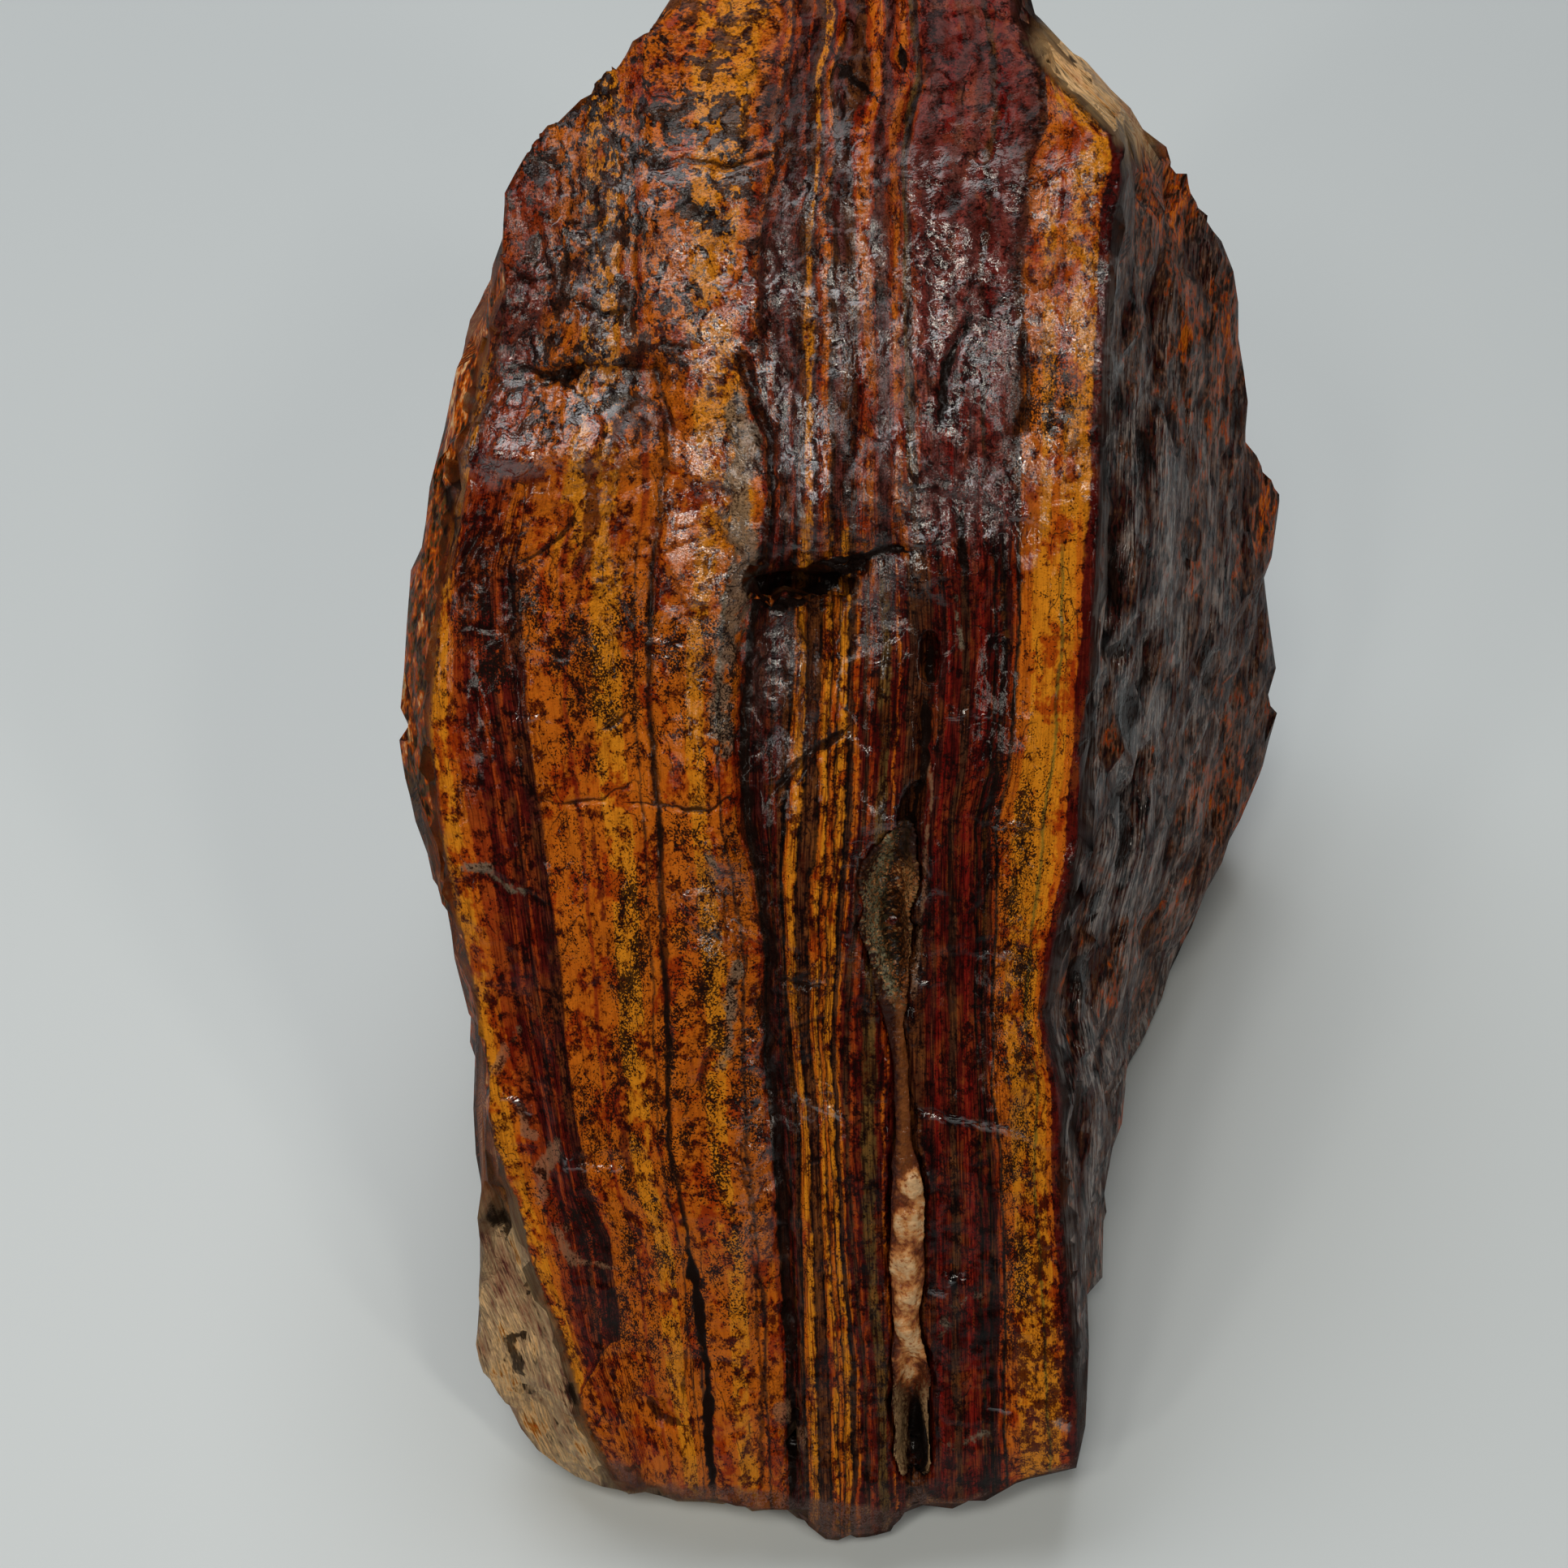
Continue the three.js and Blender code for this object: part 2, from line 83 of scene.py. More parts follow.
def make_stage():
    half = 3.0
    mesh = bpy.data.meshes.new("floor")
    corners = [(-half, -half, 0), (half, -half, 0), (half, half, 0), (-half, half, 0)]
    mesh.from_pydata(corners, [], [(0, 1, 2, 3)])
    floor = bpy.data.objects.new("floor", mesh)
    bpy.context.collection.objects.link(floor)
    material = bpy.data.materials.new("pale_floor")
    material.use_nodes = True
    surface = material.node_tree.nodes["Principled BSDF"]
    surface.inputs["Base Color"].default_value = FLOOR_COLOR
    surface.inputs["Roughness"].default_value = 0.5
    mesh.materials.append(material)
    world = bpy.data.worlds.new("studio")
    world.use_nodes = True
    background = world.node_tree.nodes["Background"]
    background.inputs["Color"].default_value = WORLD_COLOR
    background.inputs["Strength"].default_value = WORLD_STRENGTH
    bpy.context.scene.world = world
    bpy.context.scene.view_settings.view_transform = "Standard"


def area_light(name, place, target, size, power, color=(1, 1, 1)):
    light = bpy.data.lights.new(name, "AREA")
    light.shape = "RECTANGLE"
    light.size, light.size_y = size
    light.energy = power
    light.color = color
    lamp = bpy.data.objects.new(name, light)
    lamp.location = place
    lamp.rotation_euler = (Vector(target) - Vector(place)).to_track_quat("-Z", "Y").to_euler()
    bpy.context.collection.objects.link(lamp)


WARM = (1.0, 0.94, 0.83)


def make_lights():
    """Five small bright lights around where the face mirrors the camera, so that ripples glint, and a
    large soft one overhead."""
    face = (0, 0, 0.12)
    area_light("key", (-0.14, -0.56, 1.35), face, (0.30, 0.22), 3.3, WARM)
    area_light("upper_left", (-0.48, -0.68, 1.31), face, (0.13, 0.20), 1.5, WARM)
    area_light("upper_right", (0.48, -0.68, 1.31), face, (0.13, 0.20), 1.4, WARM)
    area_light("left", (-0.83, -0.99, 0.95), face, (0.10, 0.40), 1.8, WARM)
    area_light("right", (0.80, -1.02, 0.95), face, (0.10, 0.40), 1.7, WARM)
    area_light("overhead", (-0.25, 0.60, 1.45), (0, 0, 0.05), (1.3, 0.8), 11.5)


# ---------------------------------------------------------------- noise in numpy
def hashed(cell, seed):
    """A value from 0 to 1 for each integer cell, the same every run."""
    mixed = (cell[..., 0] * 73856093) ^ (cell[..., 1] * 19349663) ^ (cell[..., 2] * 83492791)
    mixed = (mixed + seed * 2654435761) & 0xFFFFFFFF
    mixed = ((mixed ^ (mixed >> 15)) * 2246822519) & 0xFFFFFFFF
    mixed = ((mixed ^ (mixed >> 13)) * 3266489917) & 0xFFFFFFFF
    return ((mixed ^ (mixed >> 16)) & 0xFFFFFF) / float(0xFFFFFF)


# Turns the grid of each octave of noise against the one before, so that no straight grid shows
TURN = np.array([[0.00, 0.80, 0.60], [-0.80, 0.36, -0.48], [-0.60, -0.48, 0.64]])


def value_noise(points, seed):
    """Smooth noise from -1 to 1 with one lump per unit."""
    points = points @ TURN
    base = np.floor(points).astype(np.int64)
    part = points - base
    part = part * part * (3 - 2 * part)
    total = np.zeros(len(points))
    for corner in np.ndindex(2, 2, 2):
        step = np.array(corner)
        weight = np.prod(np.where(step == 1, part, 1 - part), axis=1)
        total += weight * hashed(base + step, seed)
    return total * 2 - 1


def fractal(points, seed, octaves=4, gain=0.5):
    total = np.zeros(len(points))
    height, reach = 1.0, 0.0
    for octave in range(octaves):
        total += height * value_noise(points, seed + octave)
        points = points @ TURN * 2
        reach += height
        height *= gain
    return total / reach


def cells(points, seed):
    """Flat tilted facets with steps between them, and the distance to the middle, one to a unit cell."""
    base = np.floor(points).astype(np.int64)
    nearest = np.full(len(points), np.inf)
    height = np.zeros(len(points))
    for corner in np.ndindex(3, 3, 3):
        cell = base + np.array(corner) - 1
        centre = cell + np.stack([hashed(cell, seed + axis) for axis in range(3)], axis=1)
        away = points - centre
        far = (away ** 2).sum(axis=1)
        tilt = np.stack([hashed(cell, seed + 5 + axis) for axis in range(3)], axis=1) * 2 - 1
        closer = far < nearest
        height = np.where(closer, (away * tilt).sum(axis=1) + 0.5 * tilt[:, 0], height)
        nearest = np.where(closer, far, nearest)
    return height, np.sqrt(nearest)


def chips(points, seed):
    return cells(points, seed)[0]


def knobs(points, seed):
    """Rounded knobs from 0 to 1, one to a unit cell."""
    return 1 - np.minimum(cells(points, seed)[1], 1) ** 2


def line_distance(field, points, reach):
    """How far each point is from the nearest place where a field is 0, up to a reach: 0 is on the line."""
    step = 0.2
    here = field(points)
    slope = [field(points + step * axis) - here for axis in np.eye(3)[:2]]
    steep = np.hypot(*slope) / step
    return np.clip(here / np.maximum(steep, 0.05), -reach, reach)


def smooth_step(value, low, high):
    share = np.clip((value - low) / (high - low), 0, 1)
    return share * share * (3 - 2 * share)


# ---------------------------------------------------------------- layout of the front
# The front's two long borders in the picture, as (y, x) points
LEFT_RIM = [(300, 590), (420, 600), (600, 562), (740, 543), (890, 528), (1020, 543), (1180, 572),
            (1337, 593), (1446, 612), (1554, 651), (1641, 690), (1750, 721), (1830, 760)]
RIGHT_RIM = [(25, 1250), (99, 1312), (166, 1383), (199, 1391), (265, 1375), (394, 1362), (650, 1354),
             (787, 1346), (890, 1339), (1039, 1329), (1160, 1300), (1250, 1287), (1354, 1310),
             (1446, 1306), (1598, 1317), (1772, 1330)]
# Each guide follows one border between bands down the stone: picture (y, x) points, and the place where
# that border stands in the straightened stack of bands.
GUIDES = [
    (543, LEFT_RIM),
    (600, [(300, 640), (500, 612), (700, 565), (850, 570), (1000, 600), (1250, 640), (1500, 690),
           (1650, 720), (1800, 775)]),
    (670, [(300, 700), (500, 680), (700, 640), (850, 650), (1000, 670), (1250, 696), (1415, 716),
           (1467, 726), (1524, 752), (1600, 762), (1660, 768), (1800, 800)]),
    (812, [(200, 800), (440, 805), (600, 815), (800, 800), (1000, 812), (1250, 821), (1415, 825),
           (1554, 856), (1663, 867), (1820, 878)]),
    (910, [(0, 968), (85, 955), (200, 940), (300, 928), (400, 922), (540, 940), (620, 946), (704, 930),
           (787, 915), (932, 906), (1015, 912), (1077, 928), (1180, 940), (1300, 938), (1450, 952),
           (1620, 965), (1830, 970)]),
    (975, [(0, 1015), (85, 1008), (200, 996), (300, 985), (450, 986), (600, 984), (800, 978), (950, 972),
           (1077, 966), (1250, 975), (1400, 985), (1620, 990), (1830, 996)]),
    (1055, [(0, 1075), (200, 1062), (450, 1068), (600, 1062), (800, 1065), (1000, 1056), (1250, 1035),
            (1400, 1040), (1700, 1062), (1830, 1066)]),
    (1140, [(0, 1135), (100, 1138), (200, 1122), (450, 1130), (800, 1150), (1000, 1137), (1250, 1140),
            (1500, 1142), (1830, 1140)]),
    (1250, [(0, 1262), (75, 1288), (150, 1290), (200, 1276), (390, 1264), (800, 1258), (950, 1250),
            (1020, 1232), (1250, 1226), (1500, 1240), (1830, 1246)]),
    (1345, RIGHT_RIM),
]


def along(line, y):
    return np.interp(y, *zip(*line))


# Lower border of the banded face, above the rough rim of the foot, as picture (x, y) points
FOOT_LINE = [(690, 1770), (760, 1800), (800, 1828), (960, 1838), (985, 1852), (1000, 1846), (1110, 1862),
             (1130, 1836), (1150, 1850), (1240, 1838), (1320, 1800), (1345, 1760)]


def band_place(x, y):
    """Where each picture point lies in the straightened stack of bands."""
    borders = np.stack([along(line, y) for _, line in GUIDES])
    places = [place for place, _ in GUIDES]
    result = np.where(x < borders[0], places[0] + x - borders[0], places[-1] + x - borders[-1])
    for index in range(len(GUIDES) - 1):
        low, high = borders[index], borders[index + 1]
        inside = (x >= low) & (x < high)
        share = (x - low) / np.maximum(high - low, 1)
        result = np.where(inside, places[index] + share * (places[index + 1] - places[index]), result)
    return result


# Below this line on the left foot the orange band spreads out under the end of the red one, as (x, y)
# points, and the place in the stack that it spreads from
FOLD_LINE = [(690, 1790), (706, 1750), (720, 1704), (738, 1672), (752, 1660), (768, 1654), (790, 1660)]
FOLD_PLACE = 708

# Cracks of the front: path in the picture, width in pixels, depth in mm, and how dark it is painted:
# the dark is painted shade in the crack.
CRACKS = [
    ([(805, 440), (812, 480), (825, 520), (816, 600), (806, 700), (800, 800), (803, 900), (812, 992)],
     7, 0.8, 0.6),
    ([(812, 992), (818, 1120), (821, 1250), (825, 1415), (840, 1480), (848, 1540)], 6, 0.4, 0.8),
    ([(848, 1540), (860, 1600), (866, 1640), (872, 1700), (872, 1760), (878, 1830)], 10, 0.5, 1.0),
    ([(912, 1410), (925, 1500), (932, 1600), (938, 1700), (938, 1830)], 4, 0.3, 0.7),
    ([(912, 440), (949, 539), (951, 600), (937, 704), (924, 787), (916, 932), (920, 1015), (937, 1077),
      (949, 1180), (941, 1250), (958, 1400), (968, 1560), (975, 1640)], 13, 1.3, 0.8),
    ([(970, 1610), (974, 1680), (978, 1760), (977, 1832)], 11, 2.5, 1.0),
    ([(667, 985), (700, 992), (717, 986), (740, 986), (775, 965)], 3, 0.4, 0.8),
    ([(779, 988), (812, 990), (846, 1000), (875, 998), (899, 981)], 4, 0.5, 0.9),
    ([(746, 896), (775, 878), (800, 871)], 5, 0.6, 0.8),
    ([(645, 692), (668, 680), (690, 662), (705, 640)], 5, 0.6, 0.8),
    ([(560, 725), (572, 690), (590, 660)], 5, 0.6, 0.8),
    ([(1190, 405), (1165, 450), (1160, 520)], 8, 1.2, 1.0),
    ([(1040, 900), (1015, 918), (995, 927), (970, 952)], 9, 1.0, 0.9),
    ([(1000, 930), (985, 945), (955, 975)], 6, 0.6, 0.7),
    ([(1142, 865), (1138, 952), (1126, 998), (1097, 1048)], 10, 1.8, 1.0),
    ([(1184, 640), (1188, 700)], 8, 1.2, 1.0),
    ([(1147, 797), (1146, 835)], 8, 1.4, 1.0), ([(1146, 835), (1150, 870)], 4, 0.5, 0.8),
    ([(1262, 415), (1268, 470), (1264, 531)], 8, 0.9, 0.8),
    # The next four paths are the shadow under the first ledge, painted as wide black cracks
    ([(930, 718), (952, 716), (985, 712), (1004, 706)], 24, 1.2, 0.75),
    ([(948, 740), (975, 740), (1003, 730), (1026, 712)], 25, 1.6, 1.0),
    ([(1018, 712), (1040, 698), (1062, 690)], 24, 1.5, 1.0),
    ([(1056, 689), (1080, 682), (1094, 679), (1110, 680)], 14, 1.4, 1.0),
    ([(1170, 1020), (1172, 1140), (1168, 1240)], 4, 0.2, 0.6),
    # Painted shade in the hole above the vug
    ([(1120, 1010), (1124, 1040), (1116, 1064)], 16, 0.6, 1.0),
    ([(770, 188), (810, 205), (850, 196), (900, 206), (948, 190)], 5, 1.0, 0.8),
    ([(1044, 88), (1052, 98), (1062, 106)], 15, 1.6, 1.0),
    ([(1110, 64), (1113, 78)], 9, 1.4, 1.0),
    ([(1146, 80), (1134, 110), (1122, 136), (1118, 172)], 8, 0.6, 0.7),
    ([(1034, 115), (1036, 138)], 7, 0.5, 0.8),
    ([(700, 272), (720, 280), (738, 272)], 5, 0.8, 0.8),
    ([(710, 372), (745, 388), (776, 380)], 6, 0.8, 0.8),
    ([(630, 332), (655, 345), (676, 340)], 6, 0.8, 0.8),
    ([(645, 452), (670, 462), (700, 466), (712, 455)], 9, 1.4, 0.9),
    ([(803, 1728), (815, 1745), (832, 1752)], 9, 0.8, 0.8),
    ([(846, 1668), (842, 1715)], 6, 0.4, 0.7),
    ([(880, 1290), (868, 1312), (866, 1340)], 5, 0.4, 0.6),
    ([(1010, 1215), (985, 1212), (960, 1205)], 5, 0.5, 0.8),
    ([(1060, 1380), (1035, 1400), (1020, 1422), (1000, 1440)], 4, 0.3, 0.6),
    ([(1010, 1255), (985, 1262), (960, 1278)], 4, 0.3, 0.6),
]

# Ledges: path in the picture read from left to right, how far the stone below it drops back in mm, and
# over how many pixels it comes back
LEDGES = [
    ([(880, 640), (940, 716), (982, 738), (1020, 714), (1073, 688), (1112, 678)], 1.2, 90),
    ([(1130, 602), (1190, 612), (1262, 640)], 0.9, 45),
    ([(1135, 1372), (1180, 1380), (1215, 1386), (1260, 1402)], 0.9, 40),
    ([(1170, 885), (1250, 890)], 0.5, 30),
    ([(1205, 1178), (1256, 1184)], 0.5, 30),
    ([(1225, 1014), (1262, 1020)], 0.6, 30),
    ([(960, 1345), (1040, 1380)], 0.3, 25),
    ([(545, 1088), (600, 1070), (650, 1100)], 0.7, 35),
    ([(800, 1440), (700, 1436)], 0.3, 20),
    ([(770, 1665), (860, 1672)], 0.5, 30),
]

# Rounded scoops: centre and half sizes in the picture, and depth in mm
SCOOPS = [
    (940, 322, 22, 30, 1.6), (1212, 185, 13, 16, 1.0), (1212, 290, 13, 20, 1.0), (895, 320, 26, 34, 0.9),
    (965, 830, 34, 85, 1.4), (680, 462, 36, 13, 1.4), (820, 1745, 20, 22, 0.6), (1085, 500, 34, 50, 0.9),
    (1160, 455, 22, 40, 0.8), (905, 1110, 30, 50, 0.8), (885, 615, 20, 30, 0.8),
]

# Where the broken foot on the left bulges: centre and half sizes in the picture, and height in mm
BREAK_SWELL = (604, 1690, 70, 120, 1.6)

# Zones of the picture by what they carry: centre, half sizes and strength
ZONES = {
    "rough": [(780, 260, 290, 330, 1.0), (1050, 500, 240, 260, 0.9), (1200, 300, 170, 330, 0.7),
              (700, 500, 160, 90, 1.0), (965, 840, 46, 120, 1.0), (905, 1110, 50, 95, 0.9),
              (890, 700, 60, 200, 0.8), (760, 700, 200, 150, 0.45), (1100, 1130, 55, 130, 0.9),
              (950, 1300, 40, 220, 0.7), (1240, 1200, 40, 220, 0.55), (980, 1780, 30, 90, 0.9),
              (1120, 1640, 55, 230, 0.6), (1200, 500, 80, 220, 0.9), (1320, 350, 60, 260, 0.9)],
    "blotch": [(760, 230, 270, 330, 1.0), (700, 470, 150, 100, 1.0), (1310, 500, 50, 80, 0.75),
               (600, 680, 60, 60, 0.35), (860, 420, 90, 140, 0.7), (1300, 130, 60, 60, 0.5)],
    "grains": [(775, 1190, 26, 130, 1.0), (850, 1150, 60, 160, 0.75), (760, 830, 110, 110, 0.8),
               (620, 780, 60, 80, 0.7), (880, 860, 50, 160, 0.6), (800, 1500, 110, 220, 0.7),
               (900, 1400, 40, 250, 0.7), (1245, 990, 26, 160, 1.0), (1250, 1230, 26, 120, 1.0),
               (1300, 480, 40, 60, 0.8), (860, 1250, 60, 100, 0.8), (720, 1050, 40, 60, 0.5),
               (1290, 1000, 45, 300, 0.35), (690, 1300, 20, 400, 0.3), (1255, 1500, 22, 160, 0.8)],
    "glint": [(1080, 480, 230, 230, 1.0), (880, 640, 60, 200, 1.0), (1200, 560, 90, 130, 1.0),
              (965, 840, 42, 100, 1.2), (1320, 330, 50, 180, 0.9), (800, 330, 220, 230, 0.55),
              (690, 480, 110, 100, 0.8), (620, 575, 60, 50, 1.0), (1100, 1100, 60, 120, 0.5),
              (1080, 790, 30, 40, 1.0), (1180, 280, 80, 130, 0.8), (1030, 330, 60, 200, 0.7),
              (930, 1400, 30, 150, 0.5), (870, 1120, 60, 60, 0.5), (1010, 1360, 40, 30, 0.6),
              (900, 440, 60, 90, 0.9)],
    "frost": [(965, 840, 34, 95, 1.0), (912, 640, 20, 100, 1.0), (1195, 435, 62, 48, 0.9),
              (1085, 430, 46, 60, 0.7), (1245, 510, 26, 60, 0.6), (1080, 798, 24, 16, 1.0),
              (870, 700, 60, 150, 0.3),
              (1030, 560, 90, 60, 0.6), (700, 470, 110, 70, 0.25), (1210, 600, 60, 40, 0.8),
              (905, 570, 24, 80, 0.9), (900, 760, 26, 90, 0.8), (1085, 720, 24, 70, 0.8),
              (1100, 560, 40, 70, 0.9),
              (800, 300, 190, 200, 0.25), (1330, 380, 50, 130, 0.35), (1085, 1120, 30, 90, 0.6)],
    # Mauve zones: partly the stone's own mauve, partly painted milky sheen
    "mauve": [(1190, 250, 90, 250, 0.9), (1180, 600, 90, 60, 1.0), (960, 240, 34, 180, 0.8),
              (965, 520, 34, 90, 0.6), (700, 300, 60, 120, 0.5), (640, 400, 40, 60, 0.8),
              (965, 840, 40, 90, 0.5), (1090, 520, 30, 120, 0.5)],
    "facet": [(1345, 85, 90, 62, 1.0), (1400, 130, 60, 50, 1.0)],
    "wavy": [(1060, 150, 130, 230, 1.0), (1000, 420, 60, 120, 0.5), (1240, 300, 40, 200, 0.5)],
    "clear": [(1300, 790, 45, 240, 1.0), (1290, 1120, 30, 120, 0.6), (720, 590, 100, 40, 0.6)],
    "dull": [(1290, 1650, 50, 190, 1.0), (600, 720, 60, 120, 0.8)],
    "ochre": [(1440, 240, 45, 80, 1.4), (1400, 300, 60, 60, 0.4), (1495, 430, 50, 100, 0.9),
              (1510, 990, 40, 60, 0.9), (1560, 640, 20, 60, 1.0), (1460, 1080, 30, 50, 0.5)],
    "pit": [(1390, 880, 16, 40, 1.0), (1378, 985, 12, 45, 0.8), (1350, 1080, 10, 50, 0.8),
            (1372, 700, 10, 60, 0.8), (1410, 560, 12, 60, 0.6), (1335, 1210, 8, 50, 0.7),
            (652, 1590, 6, 8, 1.0), (644, 1645, 6, 8, 1.0), (1372, 480, 9, 80, 0.6)],
    # Damp zones: a wetter coat, and painted sheen streaks on the right side
    "damp": [(1360, 800, 60, 620, 1.0), (1430, 720, 90, 330, 0.8), (1400, 1150, 70, 260, 0.8),
             (1350, 1350, 60, 330, 0.9)],
}

# Strokes of colour on the front: path in the picture, width in pixels and strength
STROKES = {
    "grey": [([(912, 500), (918, 560), (910, 610), (903, 650)], 19, 1.1),
             ([(922, 668), (915, 705), (903, 750), (893, 812)], 15, 1.1),
             ([(888, 840), (890, 880), (893, 925)], 11, 0.9),
             ([(572, 1068), (600, 1070), (622, 1092), (650, 1100)], 6, 0.8),
             ([(1152, 1650), (1175, 1615), (1198, 1595)], 9, 0.5),
             # Painted sheen: this grey stroke stands for a sheen, not for grey stone
             ([(1160, 1783), (1200, 1772), (1232, 1760)], 8, 0.5),
             ([(1225, 1580), (1262, 1565), (1292, 1552)], 8, 0.45),
             ([(905, 1190), (895, 1235), (900, 1280), (885, 1310)], 10, 0.8),
             ([(868, 1055), (885, 1075)], 8, 0.7), ([(1180, 735), (1182, 800)], 5, 0.6)],
    "red": [([(730, 575), (734, 630), (721, 685), (716, 735), (703, 775), (690, 815)], 9, 1.0),
            ([(700, 830), (712, 880), (722, 930)], 8, 0.7),
            ([(760, 1302), (766, 1360), (770, 1400), (776, 1440)], 9, 1.0),
            ([(585, 560), (620, 580), (665, 590)], 22, 0.9),
            ([(725, 1005), (738, 1080), (742, 1130)], 5, 0.8),
            ([(570, 660), (600, 640), (640, 620)], 16, 0.6)],
    "pale": [([(612, 1318), (622, 1290), (638, 1266)], 9, 0.75),
             ([(636, 1362), (642, 1395), (660, 1400)], 6, 0.8),
             ([(682, 1412), (672, 1440), (668, 1478)], 9, 0.9),
             ([(690, 1512), (697, 1535), (712, 1552)], 9, 0.9), ([(712, 1552), (757, 1563)], 4, 0.8),
             ([(965, 1733), (968, 1745)], 8, 1.0), ([(985, 1765), (994, 1800)], 6, 0.9),
             ([(1142, 905), (1142, 1000), (1136, 1100), (1131, 1230)], 3, 1.0)],
}


# Beads of water that hang along ledges and catch the light: paths in the picture
BEADS = [
    [(1133, 1368), (1150, 1378), (1185, 1380)], [(1190, 1383), (1215, 1388), (1245, 1392), (1262, 1404)],
    [(1205, 1180), (1222, 1175), (1242, 1178), (1252, 1184)], [(1172, 885), (1190, 880), (1220, 882)],
    [(1228, 1020), (1240, 1013), (1252, 1014), (1262, 1022)], [(1112, 1210), (1125, 1206), (1138, 1214)],
    [(1005, 1362), (1025, 1370), (1034, 1380)], [(982, 1350), (1000, 1357)], [(1112, 1444), (1145, 1443)],
    [(1160, 1592), (1172, 1580), (1186, 1572)], [(1135, 1588), (1150, 1592), (1162, 1588)],
    [(638, 884), (655, 886), (670, 886), (680, 891)], [(798, 790), (812, 788), (824, 792)],
    [(834, 796), (850, 797), (858, 802)], [(803, 808), (815, 812), (818, 819)],
    [(884, 813), (900, 819), (916, 814)], [(1246, 600), (1258, 620), (1272, 640)],
    [(1184, 596), (1205, 602), (1232, 600)], [(1160, 616), (1180, 622), (1198, 616)],
    [(940, 580), (960, 575), (985, 568)], [(1048, 618), (1062, 622), (1066, 600), (1062, 575)],
    [(900, 585), (915, 592), (928, 600)], [(884, 760), (898, 766), (912, 770)],
    [(700, 1436), (735, 1440), (765, 1438)], [(1045, 905), (1056, 920), (1070, 925)],
    [(1020, 690), (1050, 696)], [(620, 1352), (640, 1358), (655, 1368)], [(1000, 1215), (1012, 1212)],
    [(966, 1770), (974, 1790)], [(1222, 1735), (1245, 1740)], [(1300, 1752), (1318, 1758)],
]
BEAD_HALF = 5.0


def bead_lift(x, y, strata):
    """Height from 0 to 1 of the beads of water at each picture point."""
    bent_x = x + 4 * value_noise(strata / 1.1, 191)
    bent_y = y + 5 * value_noise(strata / 1.1, 192)
    half = BEAD_HALF * np.clip(0.8 + 0.7 * value_noise(strata / 1.6, 193), 0.1, 2)
    height = np.zeros(len(x))
    for path in BEADS:
        far, _ = path_distance(bent_x, bent_y, path)
        height = np.maximum(height, np.clip(1 - (far / half) ** 2, 0, 1))
    return height


# Places that the bands bend around: centre and reach in the picture, and share of the bands pushed aside
EYES = [(1052, 97, 30, 1.0), (1112, 72, 20, 0.9), (1246, 1330, 22, 0.6), (865, 1700, 20, 0.4)]


def around_eyes(x, y):
    """How far the bands are pushed aside at each picture point, in pixels."""
    push = np.zeros(len(x))
    for cx, cy, reach, share in EYES:
        far = np.hypot(x - cx, 0.7 * (y - cy)) / reach
        push -= share * (x - cx) * np.exp(-far ** 2)
    return push


def path_distance(x, y, path):
    """Distance in pixels from each picture point to a path, and on which side of it: 1 is the side that
    is above a path drawn from left to right, and -1 the other."""
    nearest = np.full(len(x), np.inf)
    side = np.zeros(len(x))
    for (ax, ay), (bx, by) in zip(path, path[1:]):
        dx, dy = bx - ax, by - ay
        share = np.clip(((x - ax) * dx + (y - ay) * dy) / (dx * dx + dy * dy), 0, 1)
        far = np.hypot(x - ax - share * dx, y - ay - share * dy)
        turn = np.where(dy * (x - ax) - dx * (y - ay) >= 0, 1, -1)
        side = np.where(far < nearest, turn, side)
        nearest = np.minimum(far, nearest)
    return nearest, side


def zone_share(x, y, kind, edge=0.45):
    """How strongly each picture point lies in the zones of one kind."""
    share = np.zeros(len(x))
    for cx, cy, half_x, half_y, strength in ZONES[kind]:
        far = np.hypot((x - cx) / half_x, (y - cy) / half_y)
        share = np.maximum(share, strength * (1 - smooth_step(far, 1 - edge, 1 + edge)))
    return share


def stroke_share(x, y, kind, strata):
    """How strongly each point lies in the strokes of one kind, ragged along their borders."""
    ragged = fractal(strata / (2.2, 3.5, 3), 163, 4, 0.65)
    bend_x = x + 8 * value_noise(strata / (3, 5, 4), 165)
    share = np.zeros(len(x))
    for path, width, strength in STROKES[kind]:
        far, _ = path_distance(bend_x, y, path)
        near = strength * np.exp(-(far / (1.3 * width)) ** 2)
        share = np.maximum(share, near * (1 + 1.1 * ragged))
    return share


# ---------------------------------------------------------------- meshes
def node_mesh(name):
    """A copy of the mesh of a solid, with the solid's own place in it."""
    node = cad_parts[name]
    mesh = node.data.copy()
    mesh.transform(node.matrix_world)
    return mesh


def evaluated(piece):
    graph = bpy.context.evaluated_depsgraph_get()
    return bpy.data.meshes.new_from_object(piece.evaluated_get(graph))


def new_object(name, mesh):
    piece = bpy.data.objects.new(name, mesh)
    bpy.context.collection.objects.link(piece)
    return piece


def remeshed(name, mesh, voxel):
    piece = new_object(name, mesh)
    remesh = piece.modifiers.new("remesh", "REMESH")
    remesh.mode = "VOXEL"
    remesh.voxel_size = voxel
    result = evaluated(piece)
    piece.modifiers.clear()
    piece.data = result
    return piece


def thin_out(piece, weights, limit):
    """Collapse triangles where the weight is above 0, most of all where it is high."""
    group = piece.vertex_groups.new(name="thin")
    levels = np.round(weights * 10).astype(int)
    for level in range(11):
        chosen = np.nonzero(levels == level)[0].tolist()
        group.add(chosen, level / 10, "REPLACE")
    triangles = sum(len(p.vertices) - 2 for p in piece.data.polygons)
    decimate = piece.modifiers.new("decimate", "DECIMATE")
    decimate.ratio = min(1, limit / triangles)
    decimate.vertex_group = "thin"
    result = evaluated(piece)
    piece.modifiers.clear()
    piece.vertex_groups.clear()
    piece.data = result


def points_of(mesh):
    flat = np.empty(len(mesh.vertices) * 3, dtype=np.float32)
    mesh.vertices.foreach_get("co", flat)
    return flat.reshape(-1, 3).astype(np.float64)


